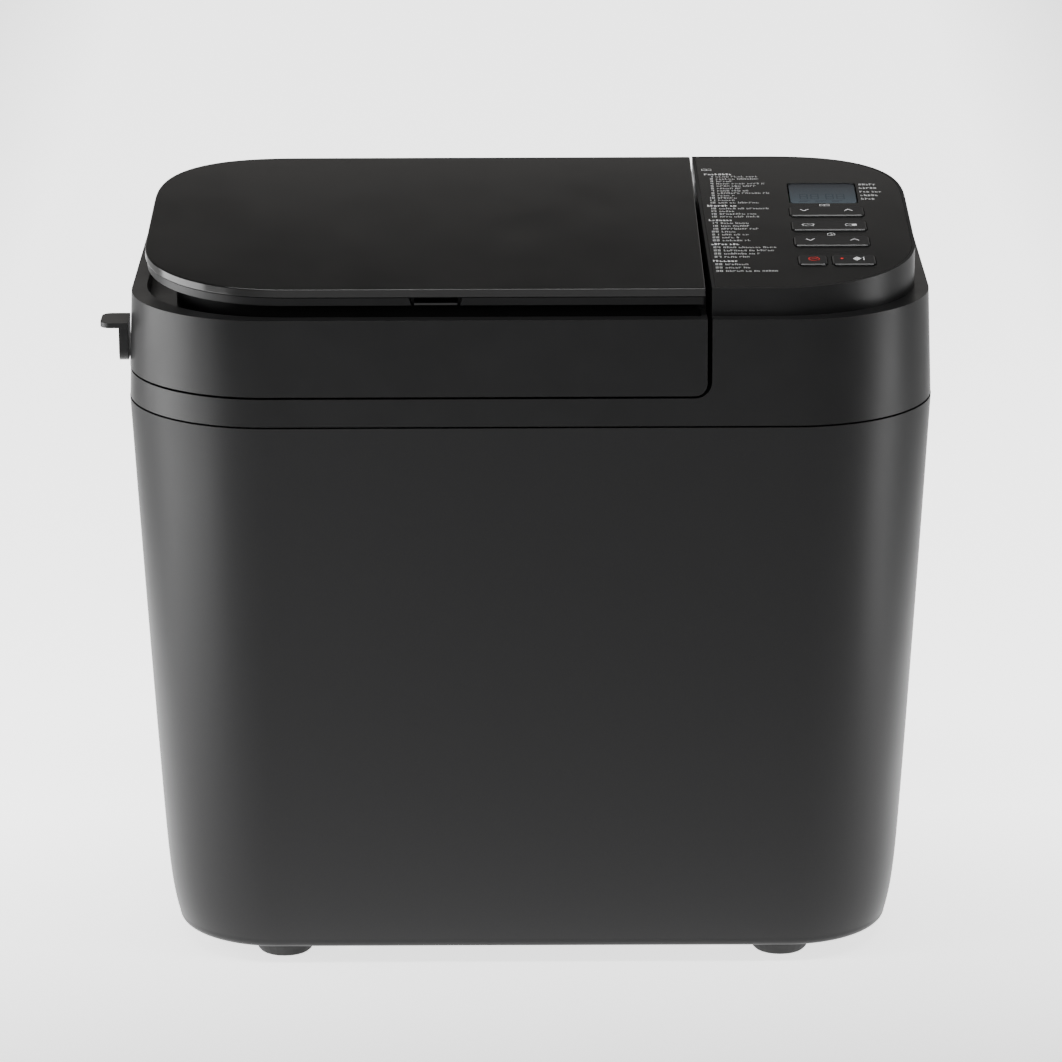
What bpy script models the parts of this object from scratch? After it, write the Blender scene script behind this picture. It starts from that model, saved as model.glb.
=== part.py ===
"""Bread machine with a hinged lid, a top flap over an ingredient dispenser and a belt-driven pan.

The machine stands on z = 0 and faces -Y. Lengths are in metres. Sub-parts hang on one empty, which
centres the whole box, side handle included, on the origin.
"""
from math import acos, cos, pi, radians, sin, tan

import bmesh
import bpy
from mathutils import Matrix, Vector

GAP = 0.0003                # clearance between pieces that touch
CUT = 0.4                   # half length of a cutter that must pass everything

# Housing: half sizes at the seam between the lower shell and the upper frame.
HALF_X = 0.1968
HALF_Y = 0.1255
CORNER = 0.070
SHELL_BOTTOM = 0.0080
SEAM = 0.281
RIM = 0.334
RIM_INSET = 0.0020
TAPER = 0.0157              # how far each lower side leans in
BULGE = 0.00035             # how far that side is rounded out at mid height
TUCK = 0.0045               # how far it turns in further, just above the bottom
TUCK_POWER = 19
BOTTOM_ROUND = 0.0045
SHELL_WALL = 0.0025
FRAME_WALL = 0.003

# Deck: the sloping top, shared by the flap and by the control pod.
DECK_FRONT = 0.3471         # its height above the front face
DECK_TILT = radians(4.6)
DECK_HALF_X = 0.1885
DECK_FRONT_Y = -0.117
DECK_BACK_Y = 0.096
DECK_CORNER = 0.074
DECK_SQUARENESS = (2.75, 2.2)   # back corners, front corners
PANEL_BORDER = 0.0015
PANEL_THICKNESS = 0.0020
DECK_THICKNESS = 0.0045

# Split between the lid on the left and the pod on the right.
LID_RIGHT_FRONT = 0.0847
LID_RIGHT_BACK = 0.0820
LID_BACK = 0.101
LID_BOTTOM = 0.2966
LID_CORNER = 0.006
SPLIT_GAP = 0.0023
LID_SEAM_GAP = 0.0012
LID_WALL = 0.0025

# Flap: a plate on a slightly smaller lower layer.
FLAP_PLATE = 0.0043
FLAP_LAYER = 0.0040
FLAP_LAYER_INSET = 0.0010
FLAP_EDGE = 0.0008
FLAP_SIDE_INSET = 0.0008
PLATEAU_INSET = 0.015
LEDGE_INSET = 0.0006        # groove round the raised middle: its outer wall, depth and back end
LEDGE_DEPTH = 0.009
LEDGE_END = 0.070
RIM_EDGE = 0.0006
UNDER_FLAP = FLAP_PLATE + FLAP_LAYER + 0.0007
CATCH_X = -0.0452
CATCH_WIDTH = 0.025

# Side handle of the lid.
HANDLE_REACH = 0.0135
HANDLE_Y = -0.055
HANDLE_DEPTH = 0.021
HANDLE_TOP = 0.3185
HANDLE_THICKNESS = 0.0026
HANDLE_DROP = 0.020         # boss below the shelf top

# Hinges: both turn about X.
HINGE_XS = (-0.125, 0.035)
LID_AXIS = (0.113, 0.334)   # y and z
LID_KNUCKLE = (0.010, 0.006)  # half width and radius
LID_PIN_RADIUS = 0.002
FLAP_AXIS = (0.0915, 0.350)
FLAP_KNUCKLE = (0.007, 0.0036)
FLAP_PIN_RADIUS = 0.0013
ROD_HOLE_RADIUS = 0.0026
BORE_PLAY = 0.0003

# Baking chamber, pan and drive share one vertical axis.
BAKE_X = -0.052
CHAMBER_HALF = (0.106, 0.088)
CHAMBER_CORNER = 0.028
CHAMBER_FLOOR = 0.050
CHAMBER_TOP = 0.2920
SHEET = 0.0010
CHAMBER_FLANGE = 0.007
PAN_HALF = (0.080, 0.066)
PAN_CORNER = 0.026
PAN_TOP = 0.232
PAN_BOTTOM = 0.078
PAN_WALL = 0.0018
PAN_DRAFT = 0.006
BAIL_PIVOT_Z = 0.214
BAIL_REACH = 0.074
BAIL_RADIUS = 0.0022
HEATER_Z = 0.082
HEATER_HALF = (0.096, 0.078)
HEATER_RADIUS = 0.0032
MOUNT_RADIUS = 0.049
FOOT_RING_RADIUS = 0.040

# Drive train below the chamber.
BELT_Z = 0.022
BELT_HEIGHT = 0.008
BELT_THICKNESS = 0.0016
DRIVE_PULLEY_RADIUS = 0.045
MOTOR_PULLEY_RADIUS = 0.0075
MOTOR_X = 0.122
SHAFT_RADIUS = 0.004
MOTOR_BOTTOM = 0.045
MOTOR_TOP = 0.110
MOTOR_RADIUS = 0.036

# Ingredient dispenser in the lid.
HOPPER_Y = -0.018
HOPPER_HALF = (0.046, 0.034)
HOPPER_WALL = 0.0016
HOPPER_BOTTOM = 0.2988
HOPPER_TOP = 0.3400
DOOR_THICKNESS = 0.0014
DOOR_PLAY = 0.0008
TRUNNION_RADIUS = 0.0014
CRANK = 0.0045
SOLENOID_X = -0.001

# Keys and display: centres are world x and y, sizes are across and down the deck.
KEY_DEPTH = 0.0146
KEY_HEIGHT = 0.0042
KEY_PROUD = 0.0007
KEY_PLAY = 0.0004
WIDE_KEYS = {"menu_key": 0.0018, "size_key": -0.0214, "time_key": -0.0460}
WIDE_KEY_X = 0.1478
WIDE_KEY_WIDTH = 0.0367
PUSH_KEYS = {"stop_key": (0.1370, 0.0137), "start_key": (0.15695, 0.0207)}
PUSH_KEY_Y = -0.0755
DISPLAY_CENTRE = (0.1473, 0.0331)
DISPLAY_SIZE = (0.0338, 0.0330)
KEY_LANDING = 0.0075        # depth of the control board below the deck

# Feet and fasteners.
FOOT_X = 0.1238
FOOT_Y = 0.0832
FOOT_RADIUS = 0.0167
FOOT_TREAD = 0.0135
SCREW_X = 0.092
SCREW_Y = 0.083

# Assembly centring: the handle sticks out on one side only.
MACHINE_X = HANDLE_REACH / 2

COLOURS = {
    "charcoal": ((0.030, 0.030, 0.031), 0.42, 0.0),
    "black_plastic": ((0.020, 0.020, 0.020), 0.38, 0.0),
    "black_gloss": ((0.012, 0.012, 0.012), 0.18, 0.0),
    "key_black": ((0.016, 0.016, 0.017), 0.35, 0.0),
    "display": ((0.16, 0.20, 0.23), 0.15, 0.0),
    "rubber": ((0.015, 0.015, 0.015), 0.80, 0.0),
    "steel": ((0.55, 0.55, 0.56), 0.30, 1.0),
    "aluminium": ((0.62, 0.62, 0.63), 0.40, 1.0),
    "nonstick": ((0.055, 0.052, 0.050), 0.50, 0.3),
    "heater_steel": ((0.20, 0.19, 0.18), 0.55, 0.8),
    "board_green": ((0.03, 0.16, 0.06), 0.50, 0.0),
    "copper": ((0.70, 0.32, 0.15), 0.35, 1.0),
    "engineering_plastic": ((0.75, 0.74, 0.70), 0.50, 0.0),
}


# ---------------------------------------------------------------- scene helpers

def clear_scene():
    for old in list(bpy.data.objects):
        bpy.data.objects.remove(old, do_unlink=True)


def material(name):
    found = bpy.data.materials.get(name)
    if found:
        return found
    colour, roughness, metallic = COLOURS[name]
    made = bpy.data.materials.new(name)
    made.use_nodes = True
    shader = made.node_tree.nodes["Principled BSDF"]
    shader.inputs["Base Color"].default_value = (*colour, 1.0)
    shader.inputs["Roughness"].default_value = roughness
    shader.inputs["Metallic"].default_value = metallic
    return made


def empty(name, location, parent=None):
    """An unseen frame: other pieces hang on it, and its place is theirs."""
    made = bpy.data.objects.new(name, None)
    made.location = location
    made.parent = parent
    bpy.context.scene.collection.objects.link(made)
    return made


def piece(name, mesh, colour, parent, location=(0, 0, 0), smooth_angle=35):
    """A named sub-part with its material; edges sharper than smooth_angle stay crisp."""
    mesh.name = name
    mesh.shade_smooth()
    mesh.set_sharp_from_angle(angle=radians(smooth_angle))
    made = bpy.data.objects.new(name, mesh)
    made.data.materials.append(material(colour))
    made.location = location
    made.parent = parent
    bpy.context.scene.collection.objects.link(made)
    return made


def cutter(name, mesh, parent, location=(0, 0, 0)):
    """A tool body for a Boolean: it is not a part of the machine."""
    made = bpy.data.objects.new(name, mesh)
    made.location = location
    made.parent = parent
    made.hide_render = True
    made.display_type = "WIRE"
    bpy.context.scene.collection.objects.link(made)
    return made


def boolean(target, tool, operation="DIFFERENCE"):
    step = target.modifiers.new(operation.lower() + "_" + tool.name, "BOOLEAN")
    step.operation = operation
    step.solver = "EXACT"
    step.object = tool


# ---------------------------------------------------------------- mesh helpers

def rounded(half_x, half_y, radius, squareness=(2.0, 2.0), steps=8, centre=(0.0, 0.0)):
    """Anticlockwise rounded rectangle; a squareness above 2 fills its back or its front corners out."""
    points = []
    for quarter, (side_x, side_y) in enumerate(((1, 1), (-1, 1), (-1, -1), (1, -1))):
        power = 2 / squareness[0 if side_y > 0 else 1]
        for step in range(steps + 1):
            angle = (quarter + step / steps) * pi / 2
            across = abs(cos(angle)) ** power * side_x
            along = abs(sin(angle)) ** power * side_y
            x = centre[0] + side_x * (half_x - radius) + across * radius
            y = centre[1] + side_y * (half_y - radius) + along * radius
            points.append((x, y))
    return points


def circle(radius, steps=24, centre=(0.0, 0.0)):
    return [(centre[0] + radius * cos(2 * pi * i / steps), centre[1] + radius * sin(2 * pi * i / steps))
            for i in range(steps)]


def at_height(points, z):
    return [(x, y, z) for x, y in points]


def on_deck(points, below=0.0):
    """Lift plan points to the sloping deck, or to a plane straight below it."""
    return [(x, y, deck_height(y) - below) for x, y in points]


def deck_height(y):
    return DECK_FRONT + (y + HALF_Y) * tan(DECK_TILT)


def loft(rings, closed=False):
    """Skin equal rings in order, first ring at the outside bottom; closed joins the last to the first."""
    shape = bmesh.new()
    rows = [[shape.verts.new(point) for point in ring] for ring in rings]
    pairs = list(zip(rows, rows[1:]))
    if closed:
        pairs.append((rows[-1], rows[0]))
    for low, high in pairs:
        for i in range(len(low)):
            j = (i + 1) % len(low)
            shape.faces.new((low[i], low[j], high[j], high[i]))
    if not closed:
        shape.faces.new(reversed(rows[0]))
        shape.faces.new(rows[-1])
    return finish(shape)


def finish(shape):
    bmesh.ops.recalc_face_normals(shape, faces=shape.faces)
    mesh = bpy.data.meshes.new("shape")
    shape.to_mesh(mesh)
    shape.free()
    return mesh


def box(low, high, bevel=0.0):
    """An upright box between two corners, with chamfered edges if bevel is given."""
    shape = bmesh.new()
    bmesh.ops.create_cube(shape, size=1.0)
    size = Vector(high) - Vector(low)
    middle = (Vector(high) + Vector(low)) / 2
    place = Matrix.Translation(middle) @ Matrix.Diagonal((*size, 1.0))
    bmesh.ops.transform(shape, matrix=place, verts=shape.verts)
    if bevel:
        bmesh.ops.bevel(shape, geom=shape.edges[:], offset=bevel, segments=1, affect="EDGES")
    return finish(shape)


def turned(profile, steps=24):
    """A solid of revolution about Z from (radius, height) pairs, read from the bottom up."""
    rings = [at_height(circle(radius, steps), height) for radius, height in profile]
    return loft(rings)


def turned_ring(profile, steps=24):
    """The same for a ring: the profile runs up the outside and down the inside."""
    rings = [at_height(circle(radius, steps), height) for radius, height in profile]
    return loft(rings, closed=True)


def aim(mesh, axis):
    """Turn a mesh made along Z so that it lies along X or Y."""
    turn = Matrix.Rotation(pi / 2, 4, "Y") if axis == "X" else Matrix.Rotation(-pi / 2, 4, "X")
    mesh.transform(turn)
    return mesh


def rod(radius, length, axis="Z", steps=16):
    """A round bar centred on the origin."""
    mesh = turned([(radius, -length / 2), (radius, length / 2)], steps)
    return mesh if axis == "Z" else aim(mesh, axis)


def prism_along_x(profile, x_low, x_high):
    """Extrude a (y, z) profile, anticlockwise seen from +X."""
    return loft([[(x_low, y, z) for y, z in profile], [(x_high, y, z) for y, z in profile]])


def body_ring(inset, z):
    """The housing's plan outline, pulled in by inset."""
    return at_height(rounded(HALF_X - inset, HALF_Y - inset, CORNER - inset), z)


def deck_outline(inset):
    half_y = (DECK_BACK_Y - DECK_FRONT_Y) / 2
    centre = (0.0, (DECK_BACK_Y + DECK_FRONT_Y) / 2)
    return rounded(DECK_HALF_X - inset, half_y - inset, DECK_CORNER - inset, DECK_SQUARENESS, centre=centre)


def split_x(y):
    """The lid's right edge, which leans a little to the left towards the back."""
    return LID_RIGHT_FRONT + (LID_RIGHT_BACK - LID_RIGHT_FRONT) / (LID_BACK + HALF_Y) * (y + HALF_Y)


def clip_right(points, wall=SPLIT_GAP + FRAME_WALL):
    """Keep a plan outline to the pod's side of the split, with its left edge a wall away from the lid."""
    kept = [(x, y) for x, y in points if x > LID_RIGHT_FRONT]
    back, front = kept[:len(kept) // 2], kept[len(kept) // 2:]
    edge = [(split_x(y) + wall, y) for y in (back[-1][1], front[0][1])]
    return back + edge + front


def lid_block(grow, y_back, z_top=0.5):
    """The space of the lid seen from the front, to its right and bottom edges, pushed out by grow."""
    bottom = LID_BOTTOM - grow[1]
    radius = LID_CORNER + max(grow)
    rings = []
    for y in (y_back, -CUT):
        right = split_x(y) + grow[0]
        corner = [(right - radius + radius * sin(a), bottom + radius - radius * cos(a))
                  for a in [i * pi / 10 for i in range(6)]]
        profile = [(-CUT, z_top), (-CUT, bottom), *corner, (right, z_top)]
        rings.append([(x, y, z) for x, z in profile])
    return loft(rings)


# ---------------------------------------------------------------- housing

def shell_inset(z):
    """How far the lower shell's side stands in from the seam's outline at height z."""
    down = (SEAM - z) / (SEAM - SHELL_BOTTOM)
    return TAPER * down - BULGE * sin(pi * down) + TUCK * down ** TUCK_POWER


def shell_profile(offset, steps):
    """Insets and heights down one wall; offset moves the line inwards by a wall thickness."""
    centre_z = SHELL_BOTTOM + BOTTOM_ROUND
    levels = [centre_z + (SEAM - centre_z) * (1 - i / steps) ** 2 for i in range(steps + 1)]
    points = [(shell_inset(z) + offset, z) for z in levels]
    radius = BOTTOM_ROUND - offset
    base = shell_inset(centre_z) + BOTTOM_ROUND
    for i in range(1, 5):
        angle = i / 4 * pi / 2
        points.append((base - radius * cos(angle), centre_z - radius * sin(angle)))
    return points


def build_outer_shell(machine):
    outside = [body_ring(inset, z) for inset, z in reversed(shell_profile(0.0, 7))]
    inside = [body_ring(inset, z) for inset, z in shell_profile(SHELL_WALL, 4)]
    shell = piece("outer_shell", loft(outside + inside, closed=True), "charcoal", machine)
    for row in range(5):
        z = 0.060 + 0.014 * row
        slot = cutter(f"cut_vent_{row}", box((-0.150, 0.09, z), (-0.080, 0.14, z + 0.005)), machine)
        boolean(shell, slot)
    inlet = cutter("cut_inlet", rod(0.0075, 0.06, "Y", 20), machine, (0.140, 0.115, 0.040))
    boolean(shell, inlet)


def build_base(machine):
    inset = shell_inset(SHELL_BOTTOM + BOTTOM_ROUND) + BOTTOM_ROUND + GAP
    plate = loft([body_ring(inset, SHELL_BOTTOM), body_ring(inset, SHELL_BOTTOM + SHELL_WALL)])
    piece("base_plate", plate, "engineering_plastic", machine)
    tread = [(FOOT_TREAD - 0.001, 0.0), (FOOT_TREAD, 0.001), (FOOT_RADIUS - 0.001, 0.0055),
             (FOOT_RADIUS, SHELL_BOTTOM - GAP)]
    for end, side_y in (("front", -1), ("back", 1)):
        for side, side_x in (("left", -1), ("right", 1)):
            foot_at = (side_x * FOOT_X, side_y * FOOT_Y, 0)
            piece(f"foot_{end}_{side}", turned(tread, 24), "rubber", machine, foot_at)
            head = [(0.0036, -0.0024), (0.0036, -GAP)]
            screw_at = (side_x * SCREW_X, side_y * SCREW_Y, SHELL_BOTTOM)
            piece(f"base_screw_{end}_{side}", turned(head, 12), "steel", machine, screw_at)


def build_upper_frame(machine):
    """The fixed band, the bridge behind the lid and the hollow control pod, in one moulding."""
    rise = [(0.0, SEAM + GAP), (RIM_INSET, RIM - RIM_EDGE), (RIM_INSET + RIM_EDGE, RIM)]
    band = loft([body_ring(inset, z) for inset, z in rise])
    frame = piece("upper_frame", band, "black_plastic", machine)
    outline = deck_outline(0.0)
    edge = on_deck(deck_outline(0.0), 0.0008)
    pod = loft([at_height(outline, RIM - 0.010), edge, on_deck(deck_outline(0.0008))])
    boolean(frame, cutter("add_pod", pod, machine), "UNION")
    for number, x in enumerate(HINGE_XS):
        barrel = cutter(f"add_lid_barrel_{number}", rod(LID_KNUCKLE[1], 4 * LID_KNUCKLE[0], "X", 20), machine,
                        (x, *LID_AXIS))
        boolean(frame, barrel, "UNION")
    room = lid_block((SPLIT_GAP, LID_SEAM_GAP), LID_BACK + 0.001)
    boolean(frame, cutter("cut_lid_room", room, machine))
    mouth = rounded(CHAMBER_HALF[0] - SHEET, CHAMBER_HALF[1] - SHEET, CHAMBER_CORNER, steps=5)
    mouth_tool = loft([at_height(mouth, SEAM - 0.013), at_height(mouth, LID_BOTTOM + 0.004)])
    boolean(frame, cutter("cut_mouth", mouth_tool, machine, (BAKE_X, 0, 0)))
    boolean(frame, frame_hollow(machine))
    room = clip_right(deck_outline(FRAME_WALL), SPLIT_GAP + FRAME_WALL + GAP)
    pod_inside = loft([at_height(room, SEAM + 0.03), on_deck(room, DECK_THICKNESS)])
    boolean(frame, cutter("cut_pod_inside", pod_inside, machine))
    recess = clip_right(deck_outline(PANEL_BORDER), SPLIT_GAP + PANEL_BORDER)
    recess_tool = loft([on_deck(recess, PANEL_THICKNESS + GAP), on_deck(recess, -0.02)])
    boolean(frame, cutter("cut_panel_recess", recess_tool, machine))
    for number, x in enumerate(HINGE_XS):
        half = LID_KNUCKLE[0] + GAP
        low = (x - half, LID_BACK - 0.005, LID_AXIS[1] - LID_KNUCKLE[1] - 0.003)
        notch = box(low, (x + half, LID_AXIS[0] + LID_KNUCKLE[1] + 0.001, 0.36))
        boolean(frame, cutter(f"cut_lid_notch_{number}", notch, machine))
        bore = rod(LID_PIN_RADIUS + BORE_PLAY, 5 * LID_KNUCKLE[0], "X", 16)
        boolean(frame, cutter(f"cut_lid_bore_{number}", bore, machine, (x, *LID_AXIS)))
    hole_at = (SOLENOID_X, LID_BACK + 0.004, hopper_axis()[1] + CRANK)
    boolean(frame, cutter("cut_plunger_hole", rod(ROD_HOLE_RADIUS, 0.02, "Y", 16), machine, hole_at))
    return frame


def frame_hollow(machine):
    """The space inside the band, less the floor and walls that face the lid."""
    inside = loft([body_ring(FRAME_WALL, SEAM - 0.02), body_ring(RIM_INSET + FRAME_WALL, RIM - FRAME_WALL)])
    hollow = cutter("cut_frame_inside", inside, machine)
    keep = lid_block((SPLIT_GAP + FRAME_WALL, LID_SEAM_GAP + FRAME_WALL), LID_BACK + 0.001 + FRAME_WALL)
    boolean(hollow, cutter("keep_lid_floor", keep, machine))
    return hollow


# ---------------------------------------------------------------- control pod

def key_frame(name, x, y, machine):
    """An empty on the deck surface: local X across, local Y up the deck, local Z out of it."""
    made = empty(name, (x, y, deck_height(y)), machine)
    made.rotation_euler.x = DECK_TILT
    return made


def key_cap(width):
    """A key with soft edges, its top KEY_PROUD above the deck."""
    top = KEY_PROUD
    low = KEY_PROUD - KEY_HEIGHT
    rim = rounded(width / 2, KEY_DEPTH / 2, 0.002, steps=3)
    face = rounded(width / 2 - 0.0005, KEY_DEPTH / 2 - 0.0005, 0.0015, steps=3)
    return loft([at_height(rim, low), at_height(rim, top - 0.0005), at_height(face, top)])


def cut_key_hole(target, name, width, depth, frame_empty):
    hole = rounded(width / 2 + KEY_PLAY, depth / 2 + KEY_PLAY, 0.002 + KEY_PLAY, steps=3)
    tool = cutter(name, loft([at_height(hole, -0.02), at_height(hole, 0.01)]), frame_empty)
    boolean(target, tool)


def build_controls(machine, frame):
    recess = clip_right(deck_outline(PANEL_BORDER + GAP), SPLIT_GAP + PANEL_BORDER + GAP)
    film = loft([on_deck(recess, PANEL_THICKNESS), on_deck(recess)])
    panel = piece("control_panel", film, "black_gloss", machine)
    keys = {name: (WIDE_KEY_X, y, WIDE_KEY_WIDTH) for name, y in WIDE_KEYS.items()}
    keys.update({name: (x, PUSH_KEY_Y, width) for name, (x, width) in PUSH_KEYS.items()})
    for name, (x, y, width) in keys.items():
        at = key_frame(name + "_frame", x, y, machine)
        piece(name, key_cap(width), "key_black", at)
        for target in (frame, panel):
            cut_key_hole(target, f"cut_{target.name}_{name}", width, KEY_DEPTH, at)
    at = key_frame("display_frame", *DISPLAY_CENTRE, machine)
    for target in (frame, panel):
        cut_key_hole(target, f"cut_{target.name}_display", *DISPLAY_SIZE, at)
    window = rounded(DISPLAY_SIZE[0] / 2, DISPLAY_SIZE[1] / 2, 0.002, steps=3)
    piece("display_window", loft([at_height(window, -0.0012), at_height(window, -0.0002)]), "display", at)
    half_x, half_y = DISPLAY_SIZE[0] / 2 - 0.001, DISPLAY_SIZE[1] / 2 - 0.001
    module = box((-half_x, -half_y, GAP - KEY_LANDING), (half_x, half_y, -0.0012 - GAP), 0.0004)
    piece("display_module", module, "display", at)
    board_at = key_frame("board_frame", WIDE_KEY_X, -0.010, machine)
    board = box((-0.024, -0.074, -KEY_LANDING - 0.0016), (0.022, 0.066, -KEY_LANDING))
    piece("control_board", board, "board_green", board_at)


# ---------------------------------------------------------------- lid

def build_lid(machine):
    lid = empty("lid_frame", (0, *LID_AXIS), machine)
    back = (0, -LID_AXIS[0], -LID_AXIS[1])
    rise = [(0.0, LID_BOTTOM - 0.01), (RIM_INSET, RIM - RIM_EDGE), (RIM_INSET + RIM_EDGE, RIM)]
    body = piece("lid_body", loft([body_ring(inset, z) for inset, z in rise]), "black_plastic", lid, back)
    plateau = deck_outline(PLATEAU_INSET)
    block = loft([at_height(plateau, RIM - 0.010), on_deck(plateau, UNDER_FLAP)])
    boolean(body, cutter("add_plateau", block, lid, back), "UNION")
    boolean(body, cutter("keep_lid_space", lid_block((0, 0), LID_BACK), lid, back), "INTERSECT")
    for number, x in enumerate(HINGE_XS):
        boolean(body, cutter(f"add_lid_arm_{number}", lid_arm(x), lid), "UNION")
        boolean(body, cutter(f"add_flap_ears_{number}", flap_ear(x), lid, back), "UNION")
    boolean(body, ledge_groove(lid, back))
    boolean(body, lid_hollow(lid, back))
    cut_lid_openings(body, lid, back)
    build_lid_pins(machine)
    build_inner_cover(lid, back)
    build_handle(lid, back)
    return lid


def cut_lid_openings(body, lid, back):
    """The dispenser's well, the hinge bores, the room for the flap's knuckles and the rod's hole."""
    half_x, half_y = HOPPER_HALF[0] + GAP, HOPPER_HALF[1] + GAP
    well = box((BAKE_X - half_x, HOPPER_Y - half_y, RIM - 0.02), (BAKE_X + half_x, HOPPER_Y + half_y, CUT))
    boolean(body, cutter("cut_hopper_well", well, lid, back))
    half = FLAP_KNUCKLE[0] + GAP
    for number, x in enumerate(HINGE_XS):
        bore = rod(LID_PIN_RADIUS + BORE_PLAY, 5 * LID_KNUCKLE[0], "X", 16)
        boolean(body, cutter(f"cut_knuckle_bore_{number}", bore, lid, (x, 0, 0)))
        room = box((x - half, 0.080, RIM + 0.001), (x + half, 0.100, CUT))
        boolean(body, cutter(f"cut_flap_room_{number}", room, lid, back))
        flap_bore = rod(FLAP_PIN_RADIUS + BORE_PLAY, 0.05, "X", 12)
        flap_bore_at = (x, FLAP_AXIS[0] + back[1], FLAP_AXIS[1] + back[2])
        boolean(body, cutter(f"cut_flap_bore_{number}", flap_bore, lid, flap_bore_at))
    rod_hole_at = (SOLENOID_X, LID_BACK + back[1], hopper_axis()[1] + CRANK + back[2])
    boolean(body, cutter("cut_rod_hole", rod(ROD_HOLE_RADIUS, 0.03, "Y", 16), lid, rod_hole_at))


def ledge_groove(lid, back):
    """A deep groove between the lid's rim and the raised middle, under the flap's edge."""
    outer, inner = deck_outline(LEDGE_INSET), deck_outline(PLATEAU_INSET)
    low, high = RIM - LEDGE_DEPTH, RIM + 0.02
    ring = loft([at_height(outer, low), at_height(outer, high), at_height(inner, high), at_height(inner, low)],
                closed=True)
    groove = cutter("cut_ledge_groove", ring, lid, back)
    inside = lid_block((-1.2 * LID_WALL, CUT / 2), LEDGE_END)
    boolean(groove, cutter("keep_groove_in_lid", inside, lid, back), "INTERSECT")
    return groove


def lid_arm(x):
    """The lid's hinge knuckle with the web that joins it to the lid's back wall; its axis is the origin."""
    half, radius = LID_KNUCKLE
    round_end = [(radius * cos(a), radius * sin(a)) for a in [(-6 + i) * pi / 12 for i in range(13)]]
    front = LID_BACK - 0.0015 - LID_AXIS[0]
    profile = [(front, -radius), *round_end, (front, 0.0)]
    return prism_along_x(profile, x - half, x + half)


def flap_ear(x):
    """Two ears that carry the flap's pin, made as one block that is slotted afterwards."""
    half = FLAP_KNUCKLE[0] + 0.004
    radius = FLAP_KNUCKLE[1]
    y, z = FLAP_AXIS
    crown = [(y + radius * cos(a), z + radius * sin(a)) for a in [i * pi / 8 for i in range(9)]]
    profile = [(y - radius, RIM - 0.001), (y + radius, RIM - 0.001), *crown]
    return prism_along_x(profile, x - half, x + half)


def lid_hollow(lid, back):
    """The space inside the lid, open below, lower under the groove, walled at the split and at the back."""
    inside = loft([body_ring(LID_WALL, LID_BOTTOM - 0.02), body_ring(RIM_INSET + LID_WALL, RIM - LID_WALL)])
    hollow = cutter("cut_lid_inside", inside, lid, back)
    walls = lid_block((-LID_WALL, CUT / 8), LID_BACK - LID_WALL)
    boolean(hollow, cutter("keep_lid_walls", walls, lid, back), "INTERSECT")
    outer, inner = body_ring(-0.01, 0.0), deck_outline(PLATEAU_INSET + LID_WALL)
    outer = [point[:2] for point in outer]
    low, high = RIM - LEDGE_DEPTH - LID_WALL, RIM + 0.02
    ring = loft([at_height(outer, low), at_height(outer, high), at_height(inner, high), at_height(inner, low)],
                closed=True)
    boolean(hollow, cutter("keep_ledge_floor", ring, lid, back))
    return hollow


def build_lid_pins(machine):
    for side, x in zip(("left", "right"), HINGE_XS):
        pin = rod(LID_PIN_RADIUS, 3.8 * LID_KNUCKLE[0], "X", 16)
        piece(f"lid_pin_{side}", pin, "steel", machine, (x, *LID_AXIS))


def build_inner_cover(lid, back):
    """The sheet that closes the lid's underside, open round the dispenser and slotted for steam."""
    outline = rounded(0.112, 0.094, 0.030, steps=6, centre=(BAKE_X, 0.0))
    sheet = loft([at_height(outline, LID_BOTTOM + 0.0004), at_height(outline, LID_BOTTOM + 0.0004 + SHEET)])
    cover = piece("lid_inner_cover", sheet, "aluminium", lid, back)
    room = (HOPPER_HALF[0] + 0.001, HOPPER_HALF[1] + 0.004)
    low = (BAKE_X - room[0], HOPPER_Y - room[1], LID_BOTTOM - 0.01)
    hole = box(low, (BAKE_X + room[0], HOPPER_Y + room[1], LID_BOTTOM + 0.01), 0.0)
    boolean(cover, cutter("cut_cover_hopper", hole, lid, back))
    for number in range(4):
        x = BAKE_X - 0.045 + 0.03 * number
        slot = box((x - 0.009, 0.055, 0.29), (x + 0.009, 0.059, 0.31))
        boolean(cover, cutter(f"cut_steam_{number}", slot, lid, back))


def build_handle(lid, back):
    """A shelf to lift the lid by, on a short boss against the lid's left side."""
    half = HANDLE_DEPTH / 2
    root = -HALF_X + RIM_INSET / 2 - GAP - 0.0006
    tip = -HALF_X - HANDLE_REACH
    corner = 0.005
    arc = [i * pi / 8 for i in range(5)]
    end = [(tip + corner - corner * sin(a), half - corner + corner * cos(a)) for a in arc]
    plan = [(root, half), *end, *[(x, -y) for x, y in reversed(end)], (root, -half)]
    shelf_low, shelf_top = HANDLE_TOP - HANDLE_THICKNESS, HANDLE_TOP
    shelf = [[(x, y + HANDLE_Y, z) for x, y in plan] for z in (shelf_low, shelf_top)]
    handle = piece("lid_handle", loft(shelf), "black_plastic", lid, back)
    drop = 0.020
    side = [(-half + 0.001, shelf_low + 0.0005), (-half + 0.001, HANDLE_TOP - drop + 0.005),
            (-half + 0.006, HANDLE_TOP - drop), (half - 0.006, HANDLE_TOP - drop),
            (half - 0.001, HANDLE_TOP - drop + 0.005), (half - 0.001, shelf_low + 0.0005)]
    boss = prism_along_x([(y + HANDLE_Y, z) for y, z in side], root - 0.0045, root)
    boolean(handle, cutter("add_handle_boss", boss, lid, back), "UNION")


# ---------------------------------------------------------------- flap

def flap_outline(inset):
    """The deck's outline kept to the left of the split, with a straight right edge."""
    points = [(x, y) for x, y in deck_outline(inset) if x < LID_RIGHT_FRONT]
    back, front = max(y for x, y in points), min(y for x, y in points)
    corner = [(split_x(y) - FLAP_SIDE_INSET - inset, y) for y in (front, back)]
    return points + corner


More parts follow.
